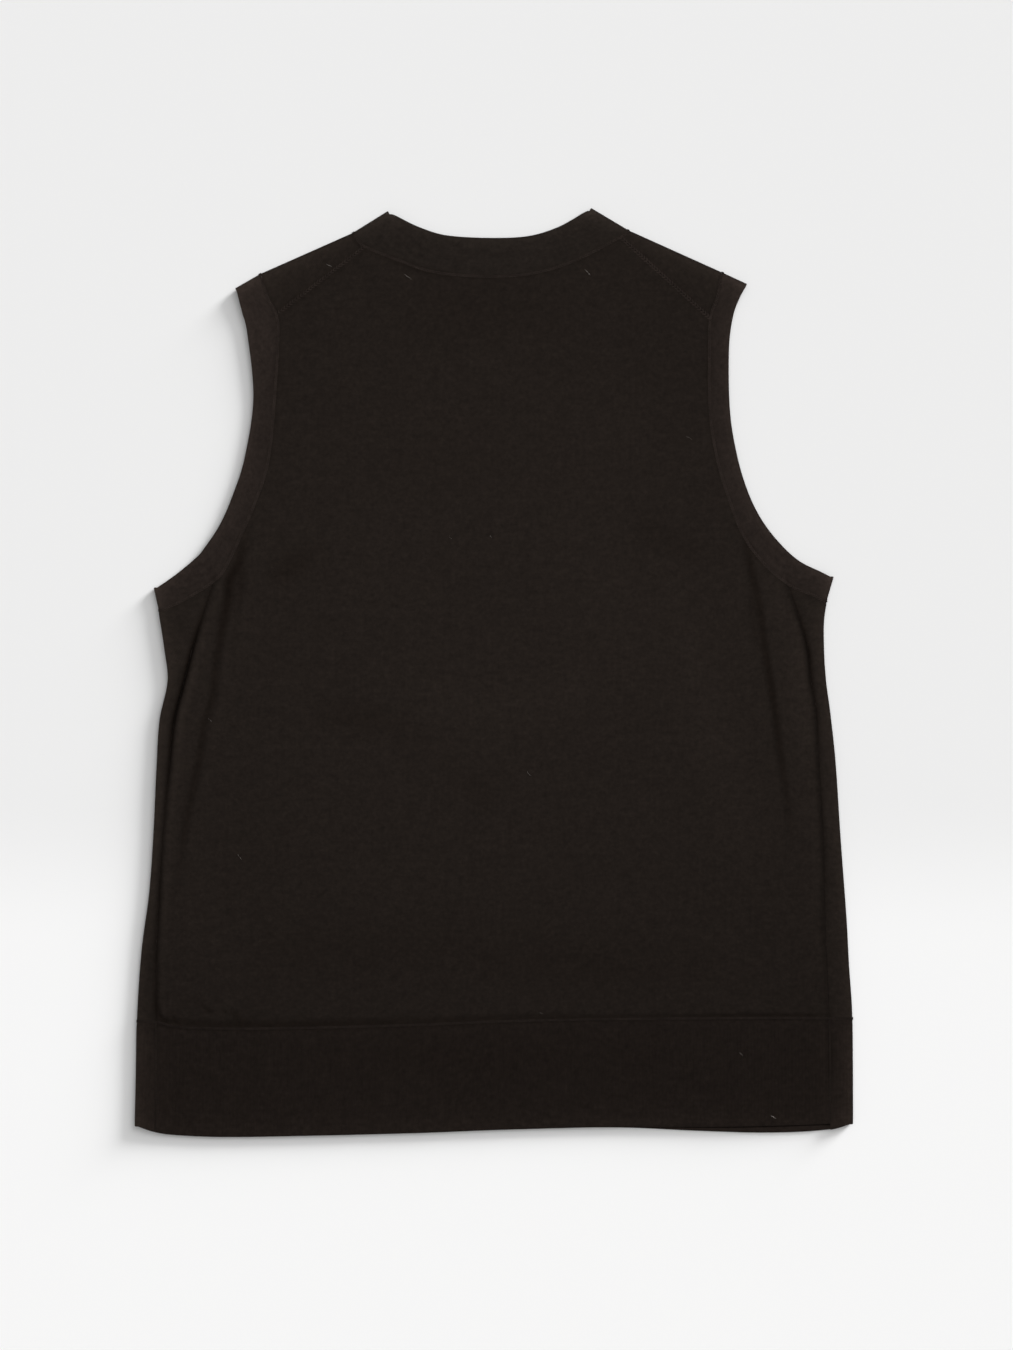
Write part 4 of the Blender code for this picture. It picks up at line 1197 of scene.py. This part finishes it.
# Each lamp's name, elevation, azimuth and softness in degrees, and its strength
FLOOR_LAMPS = (("low_light", 12.5, 41.0, 21.0, 5.4), ("soft_light", 38.0, 41.0, 45.0, 1.15),
               ("high_light", 85.0, 90.0, 60.0, 0.85))
RIM_LAMPS = tuple((f"rim_light_{azimuth}", 18.0, azimuth, 50.0, 0.22)
                  for azimuth in (0, 90, 180, 270))
ROOM_LIGHT, ROOM_COLOUR = 0.18, (1.0, 0.995, 0.985, 1.0)
STRIP_PLACE, STRIP_SIZE, STRIP_POWER = (0.0, 0.095, 0.90), (0.5, 0.3), 6.4
FLOOR_SIZE = 18.0
# painted light: the floor's tone is lighter towards the foot, across a soft band below the middle
FLOOR_TONES = (-0.085, -0.195, 0.812, 0.885)     # two places along y, and its tones there


def camera():
    lens = bpy.data.cameras.new("camera")
    lens.sensor_width = SENSOR_WIDTH
    lens.lens = SENSOR_WIDTH * CAMERA_HEIGHT / FRAME_HEIGHT
    made = put("camera", lens)
    made.location = (*VIEW_CENTRE, CAMERA_HEIGHT)
    bpy.context.scene.camera = made


def shine(lamp, lit, location=(0.0, 0.0, 0.0), turn=(0.0, 0.0, 0.0)):
    """Put up a lamp that isn't seen itself and lights one collection alone."""
    made = put(lamp.name, lamp)
    made.location, made.rotation_euler = location, turn
    made.visible_camera = False
    made.light_linking.receiver_collection = lit


def receivers(name, piece, link_state):
    """A collection that lights one piece alone, or all but that piece."""
    made = bpy.data.collections.new(name)
    made.objects.link(piece)
    made.collection_objects[0].light_linking.link_state = link_state
    return made


def light(floor_piece):
    """A soft room and a long lamp over the vest, and lamps that shade the floor beside it."""
    floor_alone = receivers("floor_alone", floor_piece, "INCLUDE")
    vest_alone = receivers("vest_alone", floor_piece, "EXCLUDE")
    for lamps, lit in ((FLOOR_LAMPS, floor_alone), (RIM_LAMPS, vest_alone)):
        for name, elevation, azimuth, softness, strength in lamps:
            sun = bpy.data.lights.new(name, "SUN")
            sun.energy, sun.angle = strength, math.radians(softness)
            shine(sun, lit, turn=(0.0, math.radians(90.0 - elevation), math.radians(azimuth)))
    strip = bpy.data.lights.new("strip_light", "AREA")
    strip.shape = "RECTANGLE"
    strip.size, strip.size_y = STRIP_SIZE
    strip.energy = STRIP_POWER
    shine(strip, vest_alone, STRIP_PLACE)
    world = bpy.data.worlds.new("room")
    world.use_nodes = True
    background = world.node_tree.nodes["Background"]
    background.inputs["Color"].default_value = ROOM_COLOUR
    background.inputs["Strength"].default_value = ROOM_LIGHT
    bpy.context.scene.world = world


def floor():
    bpy.ops.mesh.primitive_plane_add(size=FLOOR_SIZE, location=(0.0, 0.0, 0.0))
    made = bpy.context.object
    made.name = "floor"
    material, tree, shader = new_material("pale_floor", FLOOR)
    place = tree.out("ShaderNodeTexCoord", None, "Object")
    values = (tree.out("ShaderNodeSeparateXYZ", {0: place}, 1), *FLOOR_TONES)
    shade = tree.out("ShaderNodeMapRange", dict(enumerate(values)),
                     interpolation_type="SMOOTHSTEP")
    tree.feed(shader.inputs["Base Color"], shade)
    made.data.materials.append(material)
    return made


# ------------ the vest

PLAIN_KNIT = knit_material("plain_knit", (0.01478, 0.01103, 0.0089), PLAIN_WALE)
NECK_KNIT = knit_material("neck_ribbing", (0.0163, 0.0125, 0.0102), RIB_WALE)
ARM_KNIT = knit_material("armhole_ribbing", (0.0190, 0.0139, 0.0116), RIB_WALE)
HEM_KNIT = knit_material("hem_ribbing", (0.0137, 0.0099, 0.0081), RIB_WALE, 1.12)
# The linking yarns are coloured lighter than the cloth they join: a painted highlight on their
# raised chains
LINK_YARN = yarn_material("linking_yarn", (0.0240, 0.0178, 0.0148))
ARM_YARN = yarn_material("armhole_linking_yarn", (0.0262, 0.0193, 0.0162))
HEM_YARN = yarn_material("hem_linking_yarn", (0.0200, 0.0148, 0.0123))
STRAY_WOOL = yarn_material("stray_wool", (0.42, 0.38, 0.35))
RIBS, STITCHES, STRAYS = rib_group(), stitch_group(), stray_group()


def lay(name, cloth, node, slot, material):
    """Make a piece of cloth stand for its solid."""
    rib_height = 0.0 if slot == "body_knit" else RIB_HEIGHT
    piece = bake(cloth.shell(name), RIBS, rib_pitch=RIB_PITCH, rib_height=rib_height,
                 material=material)
    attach(piece, "root")
    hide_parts(node)
    flat, area = cloth.cut()


def vest():
    lay("front_knit", front_cloth(), "front_panel", "body_knit", PLAIN_KNIT)
    lay("back_knit", back_cloth(), "back_panel", "body_knit", PLAIN_KNIT)
    lay("hem_ribbing_front", hem_front_cloth(), "hem_rib_front", "hem_rib", HEM_KNIT)
    lay("hem_ribbing_back", hem_back_cloth(), "hem_rib_back", "hem_rib", HEM_KNIT)
    lay("neck_ribbing", neck_cloth(), "neck_rib", "band_rib", NECK_KNIT)
    for half in HALVES:
        lay(f"armhole_ribbing_{half.name}", arm_cloth(half), f"armhole_rib_{half.name}",
            "band_rib", ARM_KNIT)


# ------------ linked seams

LINK_LIFT = WALL / 2 + 0.0001
LINK_INSET = 0.0005      # of the chain on its band, from the seam
LINK_WANDER, LINK_WANDER_SCALE, LINK_SEED = 0.0005, 110.0, 5
LINK_FROM = 0.42         # share of a fold's turn that a chain starts at
SLOPE_STEP = 0.0005
BAND_LINK_POINTS, HEM_LINK_POINTS, SHORT_LINK_POINTS = 160, 240, 60
# Each chain's pitch, width and lean
BAND_CHAIN, HEM_CHAIN = (0.0020, 0.0018, 0.38), (0.0018, 0.0015, 0.38)
SHOULDER_CHAINS = {"left": (0.0024, 0.0022, 0.50), "right": (0.0024, 0.0028, 0.50)}
SIDE_CHAIN, SIDE_INSET = (0.0016, 0.0012, 0.30), 0.0012


def over_top(places):
    """A line on the upper layer's outer face: points, each with its upright direction."""
    slopes = [(upper_height(places - run) - upper_height(places + run)) / (2 * SLOPE_STEP)
              for run in np.eye(2) * SLOPE_STEP]
    upright = unit(np.stack((*slopes, np.ones(len(places))), axis=-1))
    return np.stack((on_top(places) + upright * LINK_LIFT, upright), axis=1)


def round_side(place, outward):
    """A line round a fold's outer face, from the side next to the table up to the top."""
    line = []
    for share in np.linspace(LINK_FROM, 1.0, FOLD_STEPS):
        angle = math.pi * share
        upright = np.array((*(outward * math.sin(angle)), -math.cos(angle)))
        line.append((turned(place[None], outward, share)[0] + upright * LINK_LIFT, upright))
    return np.array(line)


def link(name, places, chain, yarn, outs=()):
    """A chain of stitches over a line in plan, and on round the folds at its two ends."""
    line = over_top(places)
    if outs:
        first, last = (round_side(place, out) for place, out in zip(places[[0, -1]], outs))
        line = np.concatenate((first[:-1], line, last[-2::-1]))
    mesh = bpy.data.meshes.new(name)
    edges = [(i, i + 1) for i in range(len(line) - 1)]
    mesh.from_pydata((line[:, 0] + TABLE_ORIGIN).tolist(), edges, [])
    carry(mesh, "upright", line[:, 1], "FLOAT_VECTOR", "vector")
    pitch, width, lean = chain
    piece = bake(put(name, mesh), STITCHES, stitch_pitch=pitch, chain_width=width, lean=lean,
                 wander=LINK_WANDER, wander_scale=LINK_WANDER_SCALE, seed=LINK_SEED,
                 material=yarn)
    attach(piece, "root")


def on_band(seam, edge):
    return seam + unit(edge - seam) * LINK_INSET


def linked_seams():
    """Chains of linking stitches where the bands and shoulders are joined."""
    rows = neck_rows(BAND_LINK_POINTS)
    link("neck_linking", on_band(neck_seam(rows), neck_edge(rows)), BAND_CHAIN, LINK_YARN,
         (LEFT.shoulder_out, RIGHT.shoulder_out))
    rows = np.linspace(0, ARM_FOLD_ROW, BAND_LINK_POINTS)
    for half in HALVES:
        link(f"armhole_linking_{half.name}", on_band(half.arm_seam(rows), half.arm_edge(rows)),
             BAND_CHAIN, ARM_YARN, (half.side_out, half.shoulder_out))
        shoulder = spread(*shoulder_ends(half), even(SHORT_LINK_POINTS))
        link(f"shoulder_linking_{half.name}", shoulder, SHOULDER_CHAINS[half.name], LINK_YARN)
        low = max(edge(half.seam(0.0) * half.sign) for edge in (back_hem_edge, front_hem_edge))
        high = hem_seam(half.sign * half.seam(HEM_TOP))
        heights = np.linspace(low + SIDE_INSET, high - SIDE_INSET, SHORT_LINK_POINTS)
        link(f"side_linking_{half.name}", half.seam_point(heights), SIDE_CHAIN, HEM_YARN)
    x = np.linspace(*(half.fold_point(HEM_TOP)[0] for half in HALVES), HEM_LINK_POINTS)
    link("hem_linking", pair(x, hem_seam(x) - LINK_INSET), HEM_CHAIN, HEM_YARN,
         (LEFT.side_out, RIGHT.side_out))


# Stray fibres that lie on the cloth: their place, length and thickness
FIBRES = (
    (-116.3, 616.9, 4.5, 0.13), (-61, 609.1, 6, 0.1), (66.6, 611.9, 5.5, 0.15),
    (138.3, 494.9, 4.5, 0.05), (-30.5, 424, 4, 0.05), (-2.1, 425.5, 4, 0.05),
    (24.8, 257.4, 4, 0.07), (-200.6, 295, 4, 0.05), (-180.1, 198.6, 4.5, 0.08),
    (33.3, 88, 3, 0.05), (175.1, 58.9, 3.8, 0.13), (197.8, 14.2, 4.4, 0.25),
)
FIBRE_LIFT = WALL / 2 + 0.0003
FIBRE_CURL, FIBRE_CURL_SCALE = 0.0018, 260.0
FIBRE_SLANT, FIBRE_SEED = math.radians(-40.0), 2


def stray_fibres():
    """A few pale fibres caught on the back."""
    x, y, *sizes = metres(FIBRES).T
    mesh = bpy.data.meshes.new("stray_fibres")
    places = on_top(pair(x, y)) + (TABLE_ORIGIN + UP * FIBRE_LIFT)
    mesh.from_pydata(places.tolist(), [], [])
    for label, values in zip(("length", "thickness"), sizes):
        carry(mesh, label, values)
    piece = bake(put("stray_fibres", mesh), STRAYS, curl=FIBRE_CURL,
                 curl_scale=FIBRE_CURL_SCALE, slant=FIBRE_SLANT, seed=FIBRE_SEED,
                 material=STRAY_WOOL)
    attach(piece, "root")


vest()
linked_seams()
stray_fibres()
camera()
light(floor())
bpy.context.scene.view_settings.view_transform = "Standard"
